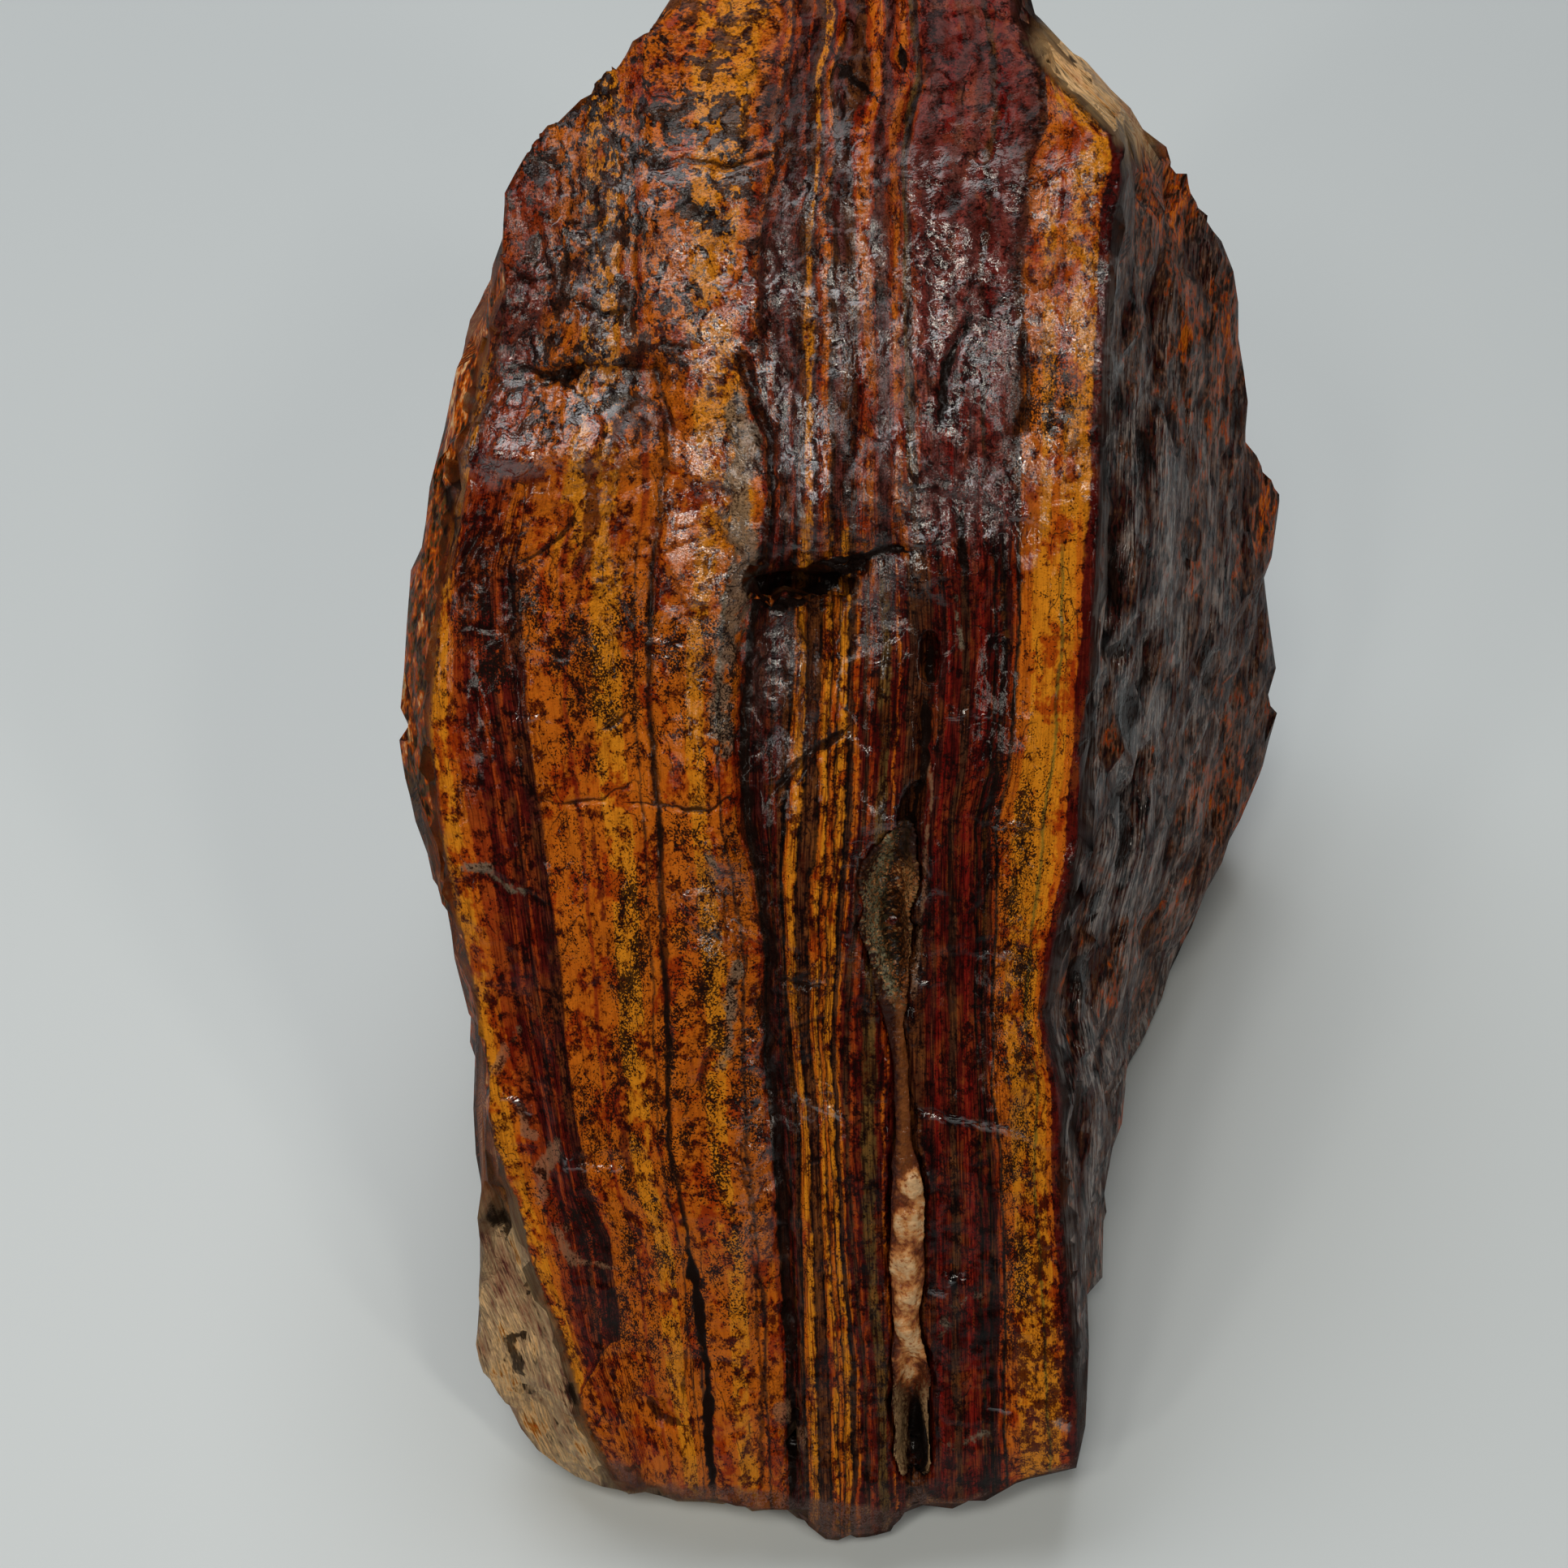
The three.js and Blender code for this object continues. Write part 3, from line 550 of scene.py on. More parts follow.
def normals_of(mesh):
    mesh.update()
    flat = np.empty(len(mesh.vertices) * 3, dtype=np.float32)
    mesh.vertices.foreach_get("normal", flat)
    return flat.reshape(-1, 3).astype(np.float64)


def set_points(mesh, points):
    mesh.vertices.foreach_set("co", points.astype(np.float32).ravel())
    mesh.update()


def edges_of(mesh):
    flat = np.empty(len(mesh.edges) * 2, dtype=np.int32)
    mesh.edges.foreach_get("vertices", flat)
    return flat.reshape(-1, 2)


def relaxed(values, edges, rounds, amount=0.5):
    """Each value moved towards the mean of its neighbours."""
    count = len(values)
    degree = np.bincount(edges.ravel(), minlength=count)[:, None]
    values = values.copy()
    for _ in range(rounds):
        total = np.zeros_like(values)
        for axis in range(values.shape[1]):
            total[:, axis] = np.bincount(edges[:, 0], values[edges[:, 1], axis], count)
            total[:, axis] += np.bincount(edges[:, 1], values[edges[:, 0], axis], count)
        values += amount * (total / degree - values)
    return values


def store(mesh, name, values):
    """Keep numbers on the points of a mesh for its material to read."""
    kind = "FLOAT" if values.ndim == 1 else "FLOAT_VECTOR"
    attribute = mesh.attributes.new(name, kind, "POINT")
    field = "value" if values.ndim == 1 else "vector"
    attribute.data.foreach_set(field, values.astype(np.float32).ravel())


def dress(mesh, material):
    mesh.polygons.foreach_set("use_smooth", [True] * len(mesh.polygons))
    mesh.materials.clear()
    mesh.materials.append(material)


# ---------------------------------------------------------------- material nodes
class Nodes:
    """A short way to write one material's node tree."""

    def __init__(self, name):
        self.material = bpy.data.materials.new(name)
        self.material.use_nodes = True
        self.tree = self.material.node_tree
        self.surface = self.tree.nodes["Principled BSDF"]

    def put(self, socket, value):
        if isinstance(value, bpy.types.NodeSocket):
            self.tree.links.new(value, socket)
        elif value is not None:
            socket.default_value = value

    def node(self, kind, **settings):
        node = self.tree.nodes.new(kind)
        for key, value in settings.items():
            setattr(node, key, value)
        return node

    def attribute(self, name, output="Fac"):
        return self.node("ShaderNodeAttribute", attribute_name=name).outputs[output]

    def math(self, operation, first, second=None, clamp=False):
        node = self.node("ShaderNodeMath", operation=operation, use_clamp=clamp)
        for socket, value in zip(node.inputs, (first, second)):
            self.put(socket, value)
        return node.outputs[0]

    def add(self, first, second):
        return self.math("ADD", first, second)

    def times(self, first, second):
        return self.math("MULTIPLY", first, second)

    def vector(self, operation, first, second):
        node = self.node("ShaderNodeVectorMath", operation=operation)
        self.put(node.inputs[0], first)
        self.put(node.inputs[1], second)
        return node.outputs["Value" if operation == "DOT_PRODUCT" else "Vector"]

    def scaled(self, vector, scale):
        return self.vector("MULTIPLY", vector, scale)

    def noise(self, vector, scale=1.0, detail=3.0, rough=0.5):
        node = self.node("ShaderNodeTexNoise")
        self.put(node.inputs["Vector"], vector)
        self.put(node.inputs["Scale"], scale)
        self.put(node.inputs["Detail"], detail)
        self.put(node.inputs["Roughness"], rough)
        return node.outputs["Fac"]

    def swing(self, vector, scale, reach, detail=3.0, rough=0.5):
        """Noise from about -reach to reach."""
        return self.span(self.noise(vector, scale, detail, rough), 0.25, 0.75, -reach, reach, smooth=False)

    def facets(self, vector, scale):
        """The height of flat chips, each tilted its own way."""
        node = self.node("ShaderNodeTexVoronoi")
        self.put(node.inputs["Vector"], vector)
        self.put(node.inputs["Scale"], scale)
        away = self.vector("SUBTRACT", vector, node.outputs["Position"])
        tilt = self.vector("SUBTRACT", node.outputs["Color"], (0.5, 0.5, 0.5))
        return self.vector("DOT_PRODUCT", away, tilt)

    def span(self, value, low, high, to_low=0.0, to_high=1.0, smooth=True):
        node = self.node("ShaderNodeMapRange", clamp=True)
        node.interpolation_type = "SMOOTHSTEP" if smooth else "LINEAR"
        for socket, number in zip(node.inputs, (value, low, high, to_low, to_high)):
            self.put(socket, number)
        return node.outputs[0]

    def line(self, value, middle, half):
        """1 where the value is at the middle, falling to 0 at a half width from it."""
        off = self.math("ABSOLUTE", self.add(value, -middle))
        return self.span(off, 0.0, half, 1.0, 0.0)

    def ramp(self, value, stops):
        node = self.node("ShaderNodeValToRGB")
        ramp = node.color_ramp
        while len(ramp.elements) < len(stops):
            ramp.elements.new(0.5)
        for element, (place, color) in zip(ramp.elements, stops):
            element.position = place
            element.color = color
        self.put(node.inputs[0], value)
        return node.outputs[0]

    def blend(self, share, first, second, kind="MIX"):
        node = self.node("ShaderNodeMix", data_type="RGBA", blend_type=kind, clamp_factor=True)
        self.put(node.inputs[0], share)
        self.put(node.inputs[6], first)
        self.put(node.inputs[7], second)
        return node.outputs[2]

    def bump(self, height, distance):
        node = self.node("ShaderNodeBump")
        self.put(node.inputs["Height"], height)
        self.put(node.inputs["Distance"], distance)
        return node.outputs[0]


def rgb(red, green, blue):
    """A display colour of 0 to 255 as the linear colour that a shader takes."""
    linear = [((c / 255 + 0.055) / 1.055) ** 2.4 if c > 10 else c / 255 / 12.92 for c in (red, green, blue)]
    return (*linear, 1.0)


YELLOW = rgb(226, 138, 26)
ORANGE = rgb(206, 104, 18)
RUST = rgb(158, 58, 14)
RED = rgb(122, 20, 12)
DARK_RED = rgb(92, 18, 10)
MAROON = rgb(66, 20, 16)
BROWN = rgb(84, 44, 22)
BLACK = rgb(26, 13, 8)
OLIVE = rgb(98, 72, 34)
MOSS = rgb(150, 116, 36)
MAUVE = rgb(98, 48, 43)
CREAM = rgb(236, 190, 134)
SOOT = rgb(52, 36, 26)
UMBER = rgb(70, 40, 24)
PLUM = rgb(82, 44, 40)
WINE = rgb(132, 54, 46)
GREY_STREAK_AND_SHEEN = rgb(130, 117, 97)
FLOOR_REFLECTION_LILAC = rgb(112, 92, 90)
# Grey of the painted sheen streaks on the right side
PAINTED_SHEEN_GREY = rgb(170, 156, 148)
DUN = rgb(116, 80, 58)
CLAY = rgb(158, 116, 86)
SAND = rgb(192, 160, 120)
AMBER = rgb(190, 120, 40)


# Paint of each kind of stroke, and how well it covers
STROKE_PAINTS = [("grey", GREY_STREAK_AND_SHEEN, 0.8), ("red", DARK_RED, 0.8), ("pale", CLAY, 0.6)]

# The water film: half width of a ripple in its noise, heights in mm, and how steeply a curl falls off
RIPPLE_HALF = 0.55
RIPPLE_HEIGHT = 0.13
FROST_HEIGHT = 0.20
CURL_FALL = 22.0
CURL_HEIGHT = 0.08
BEAD_HEIGHT = 0.22

# Bands of the front by the place where each begins in the straightened stack, in the upper part of the
# stone and in the lower part
UPPER_BANDS = [
    (500, RUST), (543, YELLOW), (566, RUST), (640, ORANGE), (700, YELLOW), (760, ORANGE), (790, RUST),
    (800, ORANGE), (850, YELLOW), (896, ORANGE), (906, RUST), (914, ORANGE), (921, MAROON), (930, RUST),
    (938, MAROON), (952, MAUVE), (960, RUST), (966, MAROON), (974, BROWN), (984, YELLOW), (993, PLUM),
    (1000, RUST), (1006, ORANGE), (1013, UMBER), (1020, MAUVE), (1030, BROWN), (1046, RUST),
    (1052, ORANGE), (1070, RUST), (1076, PLUM), (1084, MAUVE), (1094, RUST), (1101, ORANGE),
    (1113, RUST), (1120, OLIVE), (1127, SOOT), (1135, RUST), (1141, WINE), (1150, MAUVE), (1158, WINE),
    (1166, RED), (1172, MAUVE), (1180, WINE), (1190, MAUVE), (1198, WINE), (1204, UMBER), (1210, RED),
    (1220, WINE), (1232, MAUVE), (1240, BROWN), (1250, ORANGE), (1270, YELLOW), (1284, ORANGE),
    (1296, YELLOW), (1331, DARK_RED), (1345, MAROON),
]
LOWER_BANDS = [
    (500, ORANGE), (543, YELLOW), (568, ORANGE), (580, RUST), (598, DARK_RED), (612, RUST), (618, DARK_RED),
    (630, MAROON), (636, RUST), (640, DARK_RED), (652, MAROON), (668, ORANGE), (711, RUST), (717, ORANGE),
    (745, YELLOW), (776, ORANGE), (789, BROWN), (792, ORANGE), (805, BROWN), (811, ORANGE), (848, YELLOW),
    (868, ORANGE), (884, BROWN), (888, ORANGE), (905, RUST), (912, BLACK), (922, MAROON), (940, DARK_RED),
    (946, BLACK), (952, DARK_RED), (960, BROWN), (966, BLACK), (974, ORANGE), (979, YELLOW),
    (988, BLACK), (992, BROWN), (1004, BLACK), (1008, ORANGE), (1012, YELLOW), (1017, BLACK),
    (1020, ORANGE), (1026, BLACK), (1029, YELLOW), (1037, BLACK), (1041, UMBER), (1046, ORANGE),
    (1050, DARK_RED), (1056, UMBER), (1062, RUST), (1067, DARK_RED), (1074, OLIVE), (1088, DARK_RED),
    (1096, ORANGE), (1099, DARK_RED), (1110, UMBER), (1122, BROWN), (1140, DARK_RED), (1148, MAROON),
    (1156, RED), (1163, DARK_RED), (1176, UMBER), (1186, DARK_RED), (1196, RED), (1206, DARK_RED),
    (1214, BLACK), (1219, DARK_RED), (1224, BLACK), (1230, MAROON), (1236, RUST), (1241, SOOT),
    (1246, ORANGE), (1262, YELLOW), (1300, MOSS), (1305, YELLOW), (1320, ORANGE),
    (1329, DARK_RED), (1345, MAROON),
]
BORDER_SOFT = 1.4
BANDS_IN_RAMP = 15


def banded(n, place, bands):
    """The colour of each band, with a narrow soft border from one to the next."""
    color = None
    for start in range(0, len(bands), BANDS_IN_RAMP):
        group = bands[start:start + BANDS_IN_RAMP]
        low = group[0][0]
        high = group[-1][0] + 2 * BORDER_SOFT
        stops = [(0.0, group[0][1])]
        for (_, before), (at, after) in zip(group, group[1:]):
            stops += [((at - BORDER_SOFT - low) / (high - low), before),
                      ((at + BORDER_SOFT - low) / (high - low), after)]
        ramp = n.ramp(n.span(place, low, high, smooth=False), stops)
        if color is None:
            color = ramp
        else:
            color = n.blend(n.span(place, low - BORDER_SOFT, low + BORDER_SOFT), color, ramp)
    return color


def tinted(n, share, color, tint, kind="MULTIPLY"):
    return n.blend(share, color, n.blend(1.0, color, tint, kind))


def front_color(n, grain, lamina):
    place = n.add(n.attribute("place"), n.times(grain, 2.2))
    upper = banded(n, place, UPPER_BANDS)
    lower = banded(n, place, LOWER_BANDS)
    color = n.blend(n.attribute("lower"), upper, lower)
    cloud = n.add(n.attribute("cloud"), n.times(grain, 0.30))
    color = tinted(n, n.span(cloud, 0.0, 0.35, 0, 0.85), color, rgb(196, 112, 48))
    color = tinted(n, n.span(cloud, -0.05, -0.40, 0, 0.5), color, rgb(104, 58, 10), "SCREEN")
    streaky = n.attribute("streaky")
    color = tinted(n, n.times(n.span(lamina, 0.46, 0.66), streaky), color, rgb(120, 70, 62))
    light = n.times(n.span(lamina, 0.44, 0.30), n.times(streaky, 0.6))
    return tinted(n, light, color, rgb(110, 52, 16), "SCREEN")


def jasper_material():
    n = Nodes("banded_jasper")
    strata = n.attribute("strata", "Vector")
    grain = n.swing(n.scaled(strata, (1.0, 0.7, 1.0)), 0.8, 1.0, 2.0, 0.72)
    speck = n.noise(n.scaled(strata, (1.0, 0.8, 1.0)), 3.4, 1, 0.7)
    grit = n.noise(n.attribute("grit_at", "Vector"), 1.0, 2, 0.65)
    lamina = n.noise(n.scaled(strata, (3.0, 0.12, 0.3)), 1.0, 1, 0.7)
    color = front_color(n, grain, lamina)

    # Dark blotches where the bands are broken up
    patch = n.add(n.attribute("patch"), n.add(n.times(grain, 0.36), n.span(speck, 0.3, 0.7, -0.06, 0.06)))
    hue = n.add(n.attribute("hue"), n.add(n.times(grain, 0.20), n.span(speck, 0.3, 0.7, -0.2, 0.2)))
    patch_color = n.ramp(n.span(hue, -0.8, 0.8, smooth=False),
                         [(0.20, SOOT), (0.40, BROWN), (0.52, SOOT), (0.64, UMBER), (0.80, MAROON)])
    color = n.blend(n.times(n.span(patch, 0.02, 0.16), n.attribute("blotch")), color, patch_color)

    # Veils, smears and veins; the mauve veil is partly the stone's own mauve and partly painted milky sheen
    color = n.blend(n.times(n.attribute("mauve"), 0.75), color, MAUVE)
    for kind, paint, cover in STROKE_PAINTS:
        share = n.span(n.add(n.attribute(kind), n.times(grain, 0.30)), 0.40, 0.75, 0, cover)
        color = n.blend(share, color, paint)

    # Dark dust, black grains and hair cracks
    dust = n.add(n.attribute("mottle"), n.add(n.times(grain, 0.60), n.span(speck, 0.3, 0.7, -0.2, 0.2)))
    color = tinted(n, n.span(dust, -0.10, 0.55, 0, 0.95), color, rgb(100, 62, 36))
    spatter = n.add(n.times(n.attribute("spatter"), 0.32), n.times(grain, 0.10))
    color = n.blend(n.span(n.add(speck, spatter), 0.66, 0.76, 0, 0.92), color, BLACK)
    thread = n.times(n.line(n.attribute("thread"), 0.0, 0.20), n.attribute("threads"))
    color = n.blend(n.times(thread, 0.85), color, BLACK)

    # Painted shade: the dug cracks, and the shadow under the first ledge, painted black
    off = n.math("ABSOLUTE", n.add(n.attribute("crack_side"), n.times(grain, 1.8)))
    crack = n.span(n.math("SUBTRACT", n.attribute("crack_half"), off), -1.5, 1.0)
    color = n.blend(n.times(crack, n.attribute("crack_shade")), color, BLACK)

    # Painted shade in the crevices of the rough places: darker where the grit of the bump is low
    crease = n.times(n.span(grit, 0.50, 0.36, 0, 0.75), n.attribute("crevice_shade_zone"))
    color = tinted(n, crease, sides_color(n, grain, grit, lamina, color), rgb(70, 48, 40))
    n.put(n.surface.inputs["Base Color"], color)
    jasper_gloss(n, strata, grain, grit)
    return n.material


def sides_color(n, grain, grit, lamina, front):
    """The rough sides: dark red with rusty patches on the right, paler on the left, pale where it broke,
    with painted sheen in pale grey streaks and painted shade in the pits.
    """
    fine = n.add(n.times(grain, 0.16), n.span(grit, 0.3, 0.7, -0.16, 0.16))
    clump = n.add(n.attribute("clump"), fine)
    right = n.ramp(clump, [(0.22, BLACK), (0.36, MAROON), (0.46, UMBER), (0.55, BROWN), (0.62, DUN),
                           (0.72, RUST), (0.86, ORANGE)])
    left = n.ramp(clump, [(0.25, BROWN), (0.38, OLIVE), (0.50, RUST), (0.62, ORANGE), (0.78, CREAM)])
    veined = n.add(n.attribute("clump"), n.add(n.times(grain, 0.07), n.span(lamina, 0.3, 0.7, -0.09, 0.09)))
    veined = n.add(veined, n.times(n.attribute("pale_facet"), 0.16))
    broken = n.ramp(veined, [(0.12, UMBER), (0.22, MAUVE), (0.32, CLAY), (0.50, SAND), (0.60, CREAM),
                             (0.70, AMBER), (0.82, RUST), (0.94, BROWN)])
    color = n.blend(n.attribute("right_side"), front, right)
    color = n.blend(n.attribute("left_side"), color, left)
    color = n.blend(n.attribute("broken"), color, broken)
    # Painted sheen: the pale facet turns creamier towards its top, where the sheen field is added
    cream = n.span(n.add(clump, n.attribute("sheen")), 0.40, 0.80, 0.0, 0.8)
    color = n.blend(n.times(n.attribute("pale_facet"), cream), color, CREAM)
    # The rim of the foot in its own earthy colours, with a lilac grey that is a painted reflection of the
    # floor
    foot = n.ramp(clump, [(0.25, SOOT), (0.38, UMBER), (0.50, FLOOR_REFLECTION_LILAC), (0.60, BROWN), (0.75, CLAY)])
    color = n.blend(n.times(n.attribute("foot"), 0.7), color, foot)
    # Painted sheen: pale grey streaks on the right side, where the coat shines on the fold ridges
    painted_sheen_streaks = n.times(n.span(lamina, 0.45, 0.60), n.attribute("painted_sheen_streaks"))
    color = n.blend(n.times(painted_sheen_streaks, 0.85), color, PAINTED_SHEEN_GREY)
    # Painted shade: the pits dug into the sides are painted black
    pit = n.span(n.add(n.attribute("pit"), fine), 0.45, 0.7, 0, 0.9)
    return n.blend(pit, color, BLACK)


def jasper_gloss(n, strata, grain, grit):
    """A damp skin: a soft sheen below and a clear coat whose ripples catch the light in thin lines."""
    rough = n.attribute("rough")
    side = n.attribute("side")
    small = n.facets(n.scaled(strata, (1.0, 0.8, 1.0)), 1.1)
    crags = n.times(grit, n.span(side, 0.0, 1.0, 0.5, 1.3, smooth=False))
    height = n.times(n.add(n.times(small, 0.8), crags), n.span(rough, 0.0, 1.0, 0.35, 1.0, smooth=False))
    n.put(n.surface.inputs["Normal"], n.bump(height, MM))

    off = n.times(n.add(n.attribute("worm"), n.span(grit, 0.3, 0.7, -0.1, 0.1)), 1 / RIPPLE_HALF)
    ripple = n.math("SUBTRACT", 1.0, n.times(off, off), clamp=True)
    film = n.times(n.times(ripple, n.attribute("film")), RIPPLE_HEIGHT)
    film = n.add(film, n.times(grit, n.span(rough, 0.0, 1.0, 0.03, 0.09)))
    film = n.add(film, n.times(n.times(grit, n.attribute("frost")), FROST_HEIGHT))
    curl = n.add(n.noise(n.scaled(strata, (0.85, 0.75, 0.75)), 1.0, 0), -0.5)
    loop = n.math("SUBTRACT", 1.0, n.times(n.times(curl, curl), CURL_FALL), clamp=True)
    film = n.add(film, n.times(n.times(loop, n.attribute("frost")), CURL_HEIGHT))
    film = n.add(film, n.times(n.attribute("bead"), BEAD_HEIGHT))
    film = n.add(film, n.times(crags, n.times(side, 0.5)))
    n.put(n.surface.inputs["Coat Normal"], n.bump(film, MM))
    n.put(n.surface.inputs["Coat Weight"], n.attribute("wet"))
    n.put(n.surface.inputs["Roughness"], n.add(n.span(rough, 0, 1, 0.72, 0.50), n.times(grain, 0.08)))
    n.surface.inputs["Specular IOR Level"].default_value = 0.05
    n.surface.inputs["Coat IOR"].default_value = 2.0
    n.surface.inputs["Coat Roughness"].default_value = 0.075


# Colours of the quartz across the seam from left to right, and of the knobs by their height. The dark
# middle stops of the druse and of the slot are painted shade in the cave and in the slot.
DRUSE = [(0.04, rgb(60, 34, 18)), (0.16, rgb(132, 126, 98)), (0.32, rgb(94, 84, 56)),
         (0.46, rgb(34, 18, 8)), (0.62, rgb(96, 50, 18)), (0.82, rgb(152, 110, 66)),
         (0.96, rgb(70, 28, 16))]
BROWN_QUARTZ = [(0.1, rgb(64, 26, 12)), (0.35, rgb(128, 72, 30)), (0.65, rgb(104, 50, 18)),
                (0.9, rgb(66, 22, 12))]
KNOB = [(0.25, rgb(64, 22, 12)), (0.46, rgb(116, 58, 28)), (0.62, rgb(178, 106, 56)),
        (0.78, rgb(212, 146, 86)), (0.97, rgb(226, 184, 136))]
SLOT = [(0.05, rgb(84, 46, 26)), (0.20, rgb(168, 134, 94)), (0.38, rgb(70, 40, 22)),
        (0.60, rgb(50, 28, 16)), (0.76, rgb(166, 130, 90)), (0.95, rgb(84, 44, 26))]
# Picture rows over which one kind of quartz passes into the next
DRUSE_END = (1215, 1250)
KNOBS_START = (1425, 1455)
SLOT_START = (1695, 1725)


def quartz_material():
    """Quartz down the seam: a dark druse in the vug, brown below it, pale knobs, then a slot. The slot, the
    cave of the vug and its top are painted near black as shade.
    """
    n = Nodes("seam_quartz")
    strata = n.attribute("strata", "Vector")
    grain = n.noise(strata, 1.3, 3, 0.65)
    loose = n.span(grain, 0.3, 0.7, -1, 1, smooth=False)
    row = n.add(n.attribute("row"), n.times(loose, 16.0))
    across = n.span(n.add(n.attribute("across"), n.times(loose, 0.30)), -1.2, 1.2, smooth=False)
    druse = n.ramp(across, DRUSE)
    speck = n.node("ShaderNodeTexVoronoi")
    n.put(speck.inputs["Vector"], n.scaled(strata, (0.7, 0.7, 0.7)))
    sorts = n.vector("DOT_PRODUCT", speck.outputs["Color"], (1.0, 0.0, 0.0))
    sorts = n.add(sorts, n.times(loose, 0.25))
    druse = n.blend(n.span(sorts, 0.70, 0.76, 0, 0.6), druse, rgb(160, 86, 32))
    druse = n.blend(n.span(sorts, 0.98, 1.04, 0, 0.85), druse, rgb(206, 156, 100))
    druse = n.blend(n.span(sorts, 0.34, 0.24, 0, 0.8), druse, rgb(26, 14, 8))
    brown = n.ramp(across, BROWN_QUARTZ)
    high = n.add(n.attribute("knob"), n.span(grain, 0.3, 0.7, -0.06, 0.28, smooth=False))
    knob = n.ramp(high, KNOB)
    knob = n.blend(n.span(grain, 0.46, 0.34, 0, 0.7), knob, rgb(150, 72, 34))
    slot = n.ramp(across, SLOT)
    color = n.blend(n.span(row, *DRUSE_END), druse, brown)
    color = n.blend(n.span(row, *KNOBS_START), color, knob)
    color = n.blend(n.span(row, *SLOT_START), color, slot)
    # Painted shade: the slot, the cave and the top of the vug are made near black
    color = n.blend(n.attribute("hollow_shade"), color, rgb(20, 11, 6))
    edge = n.math("ABSOLUTE", n.add(n.attribute("across"), n.times(loose, 0.25)))
    color = n.blend(n.span(edge, 0.8, 1.1, 0, 0.7), color, rgb(46, 18, 10))
    n.put(n.surface.inputs["Base Color"], color)
    n.put(n.surface.inputs["Normal"], n.bump(n.add(n.facets(strata, 1.6), grain), 0.4 * MM))
    n.surface.inputs["Roughness"].default_value = 0.6
    n.surface.inputs["Specular IOR Level"].default_value = 0.12
    n.surface.inputs["Coat Weight"].default_value = 0.15
    n.surface.inputs["Coat Roughness"].default_value = 0.08
    return n.material


# ---------------------------------------------------------------- the stone
JASPER_VOXEL = 0.64 * MM
TRIANGLE_LIMIT = 196000


def facing_camera(points, normals):
    sight = EYE - points
    sight /= np.linalg.norm(sight, axis=1)[:, None]
    return (normals * sight).sum(axis=1)


# How far the banded face is from the eye, as (picture y, metres) points
FACE_ROWS = [(-60, 0.524), (200, 0.512), (560, 0.507), (1000, 0.518), (1400, 0.534), (1835, 0.560)]
# How far behind the banded face the paler colours of the left side reach, in mm
LEFT_PALE = (18, 60)


class Layout:
    """Where the points of a mesh lie in the picture and in the layers of the stone, and on which surface.
    It is worked out from EYE, so that it stays the same when a view moves the camera."""

    def __init__(self, mesh):
        points, normals = points_of(mesh), normals_of(mesh)
        self.x, self.y, depth = picture(points)
        self.facing = facing_camera(points, normals)
        self.place = band_place(self.x, self.y)
        self.strata = np.stack([self.place * PX, (FRAME / 2 - self.y) * PX, depth], axis=1) / MM
        past_right = self.x - along(RIGHT_RIM, self.y)
        past_left = along(LEFT_RIM, self.y) - self.x
        turned = 1 - smooth_step(self.facing, 0.0, 0.15)
        rim_turn = (1 - smooth_step(self.facing, 0.22, 0.42)) * (1 - smooth_step(-past_left, 30, 80))
        beyond = np.maximum(smooth_step(past_right, -2, 5), smooth_step(past_left, -2, 5))
        side = np.maximum(beyond, np.maximum(turned, rim_turn))
        behind = (depth - along(FACE_ROWS, self.y)) / MM + 14 * value_noise(points / MM / 14, 201)
        near_left = (1 - smooth_step(behind, *LEFT_PALE)) * smooth_step(-points[:, 0] / MM, 0, 20)
        low = smooth_step(self.y + 0.4 * (self.x - 700), 1400, 1470)
        self.facet = zone_share(self.x, self.y, "facet", 0.2) * smooth_step(past_right, -16, -6)
        self.broken = np.maximum(side * near_left * low, self.facet)
        self.right = side * (1 - near_left) * (1 - self.facet)
        self.left = side * near_left * (1 - self.broken)
        self.front = (1 - self.right) * (1 - self.left) * (1 - self.broken)


def make_jasper():
    piece = remeshed("jasper", node_mesh("jasper_block"), JASPER_VOXEL)
    mesh = piece.data
    set_points(mesh, relaxed(points_of(mesh), edges_of(mesh), 5))
    layout = Layout(mesh)
    roughen(mesh, layout)
    seen = smooth_step(layout.facing, 0.1, 0.5) * (1 - 0.5 * (1 - layout.front))
    thin_out(piece, 1 - seen, TRIANGLE_LIMIT)
    mesh = piece.data
    mark(mesh, Layout(mesh))
    dress(mesh, jasper_material())
    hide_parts("jasper_block")
    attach(piece, "root")


# Distance in pixels that stands for no crack nearby
NO_CRACK = 99.0
# Chips as (size along the layers, down and inwards in mm, height in mm, seed)
FRONT_CHIPS = [((6, 8, 7), 1.0, 23), ((2.4, 3, 3), 0.5, 41)]
SIDE_CHIPS = [((8, 17, 12), 0.6, 47), ((2.6, 6, 4), 0.25, 53)]


def chipped(strata, layers):
    return sum(height * chips(strata / size, seed) for size, height, seed in layers)


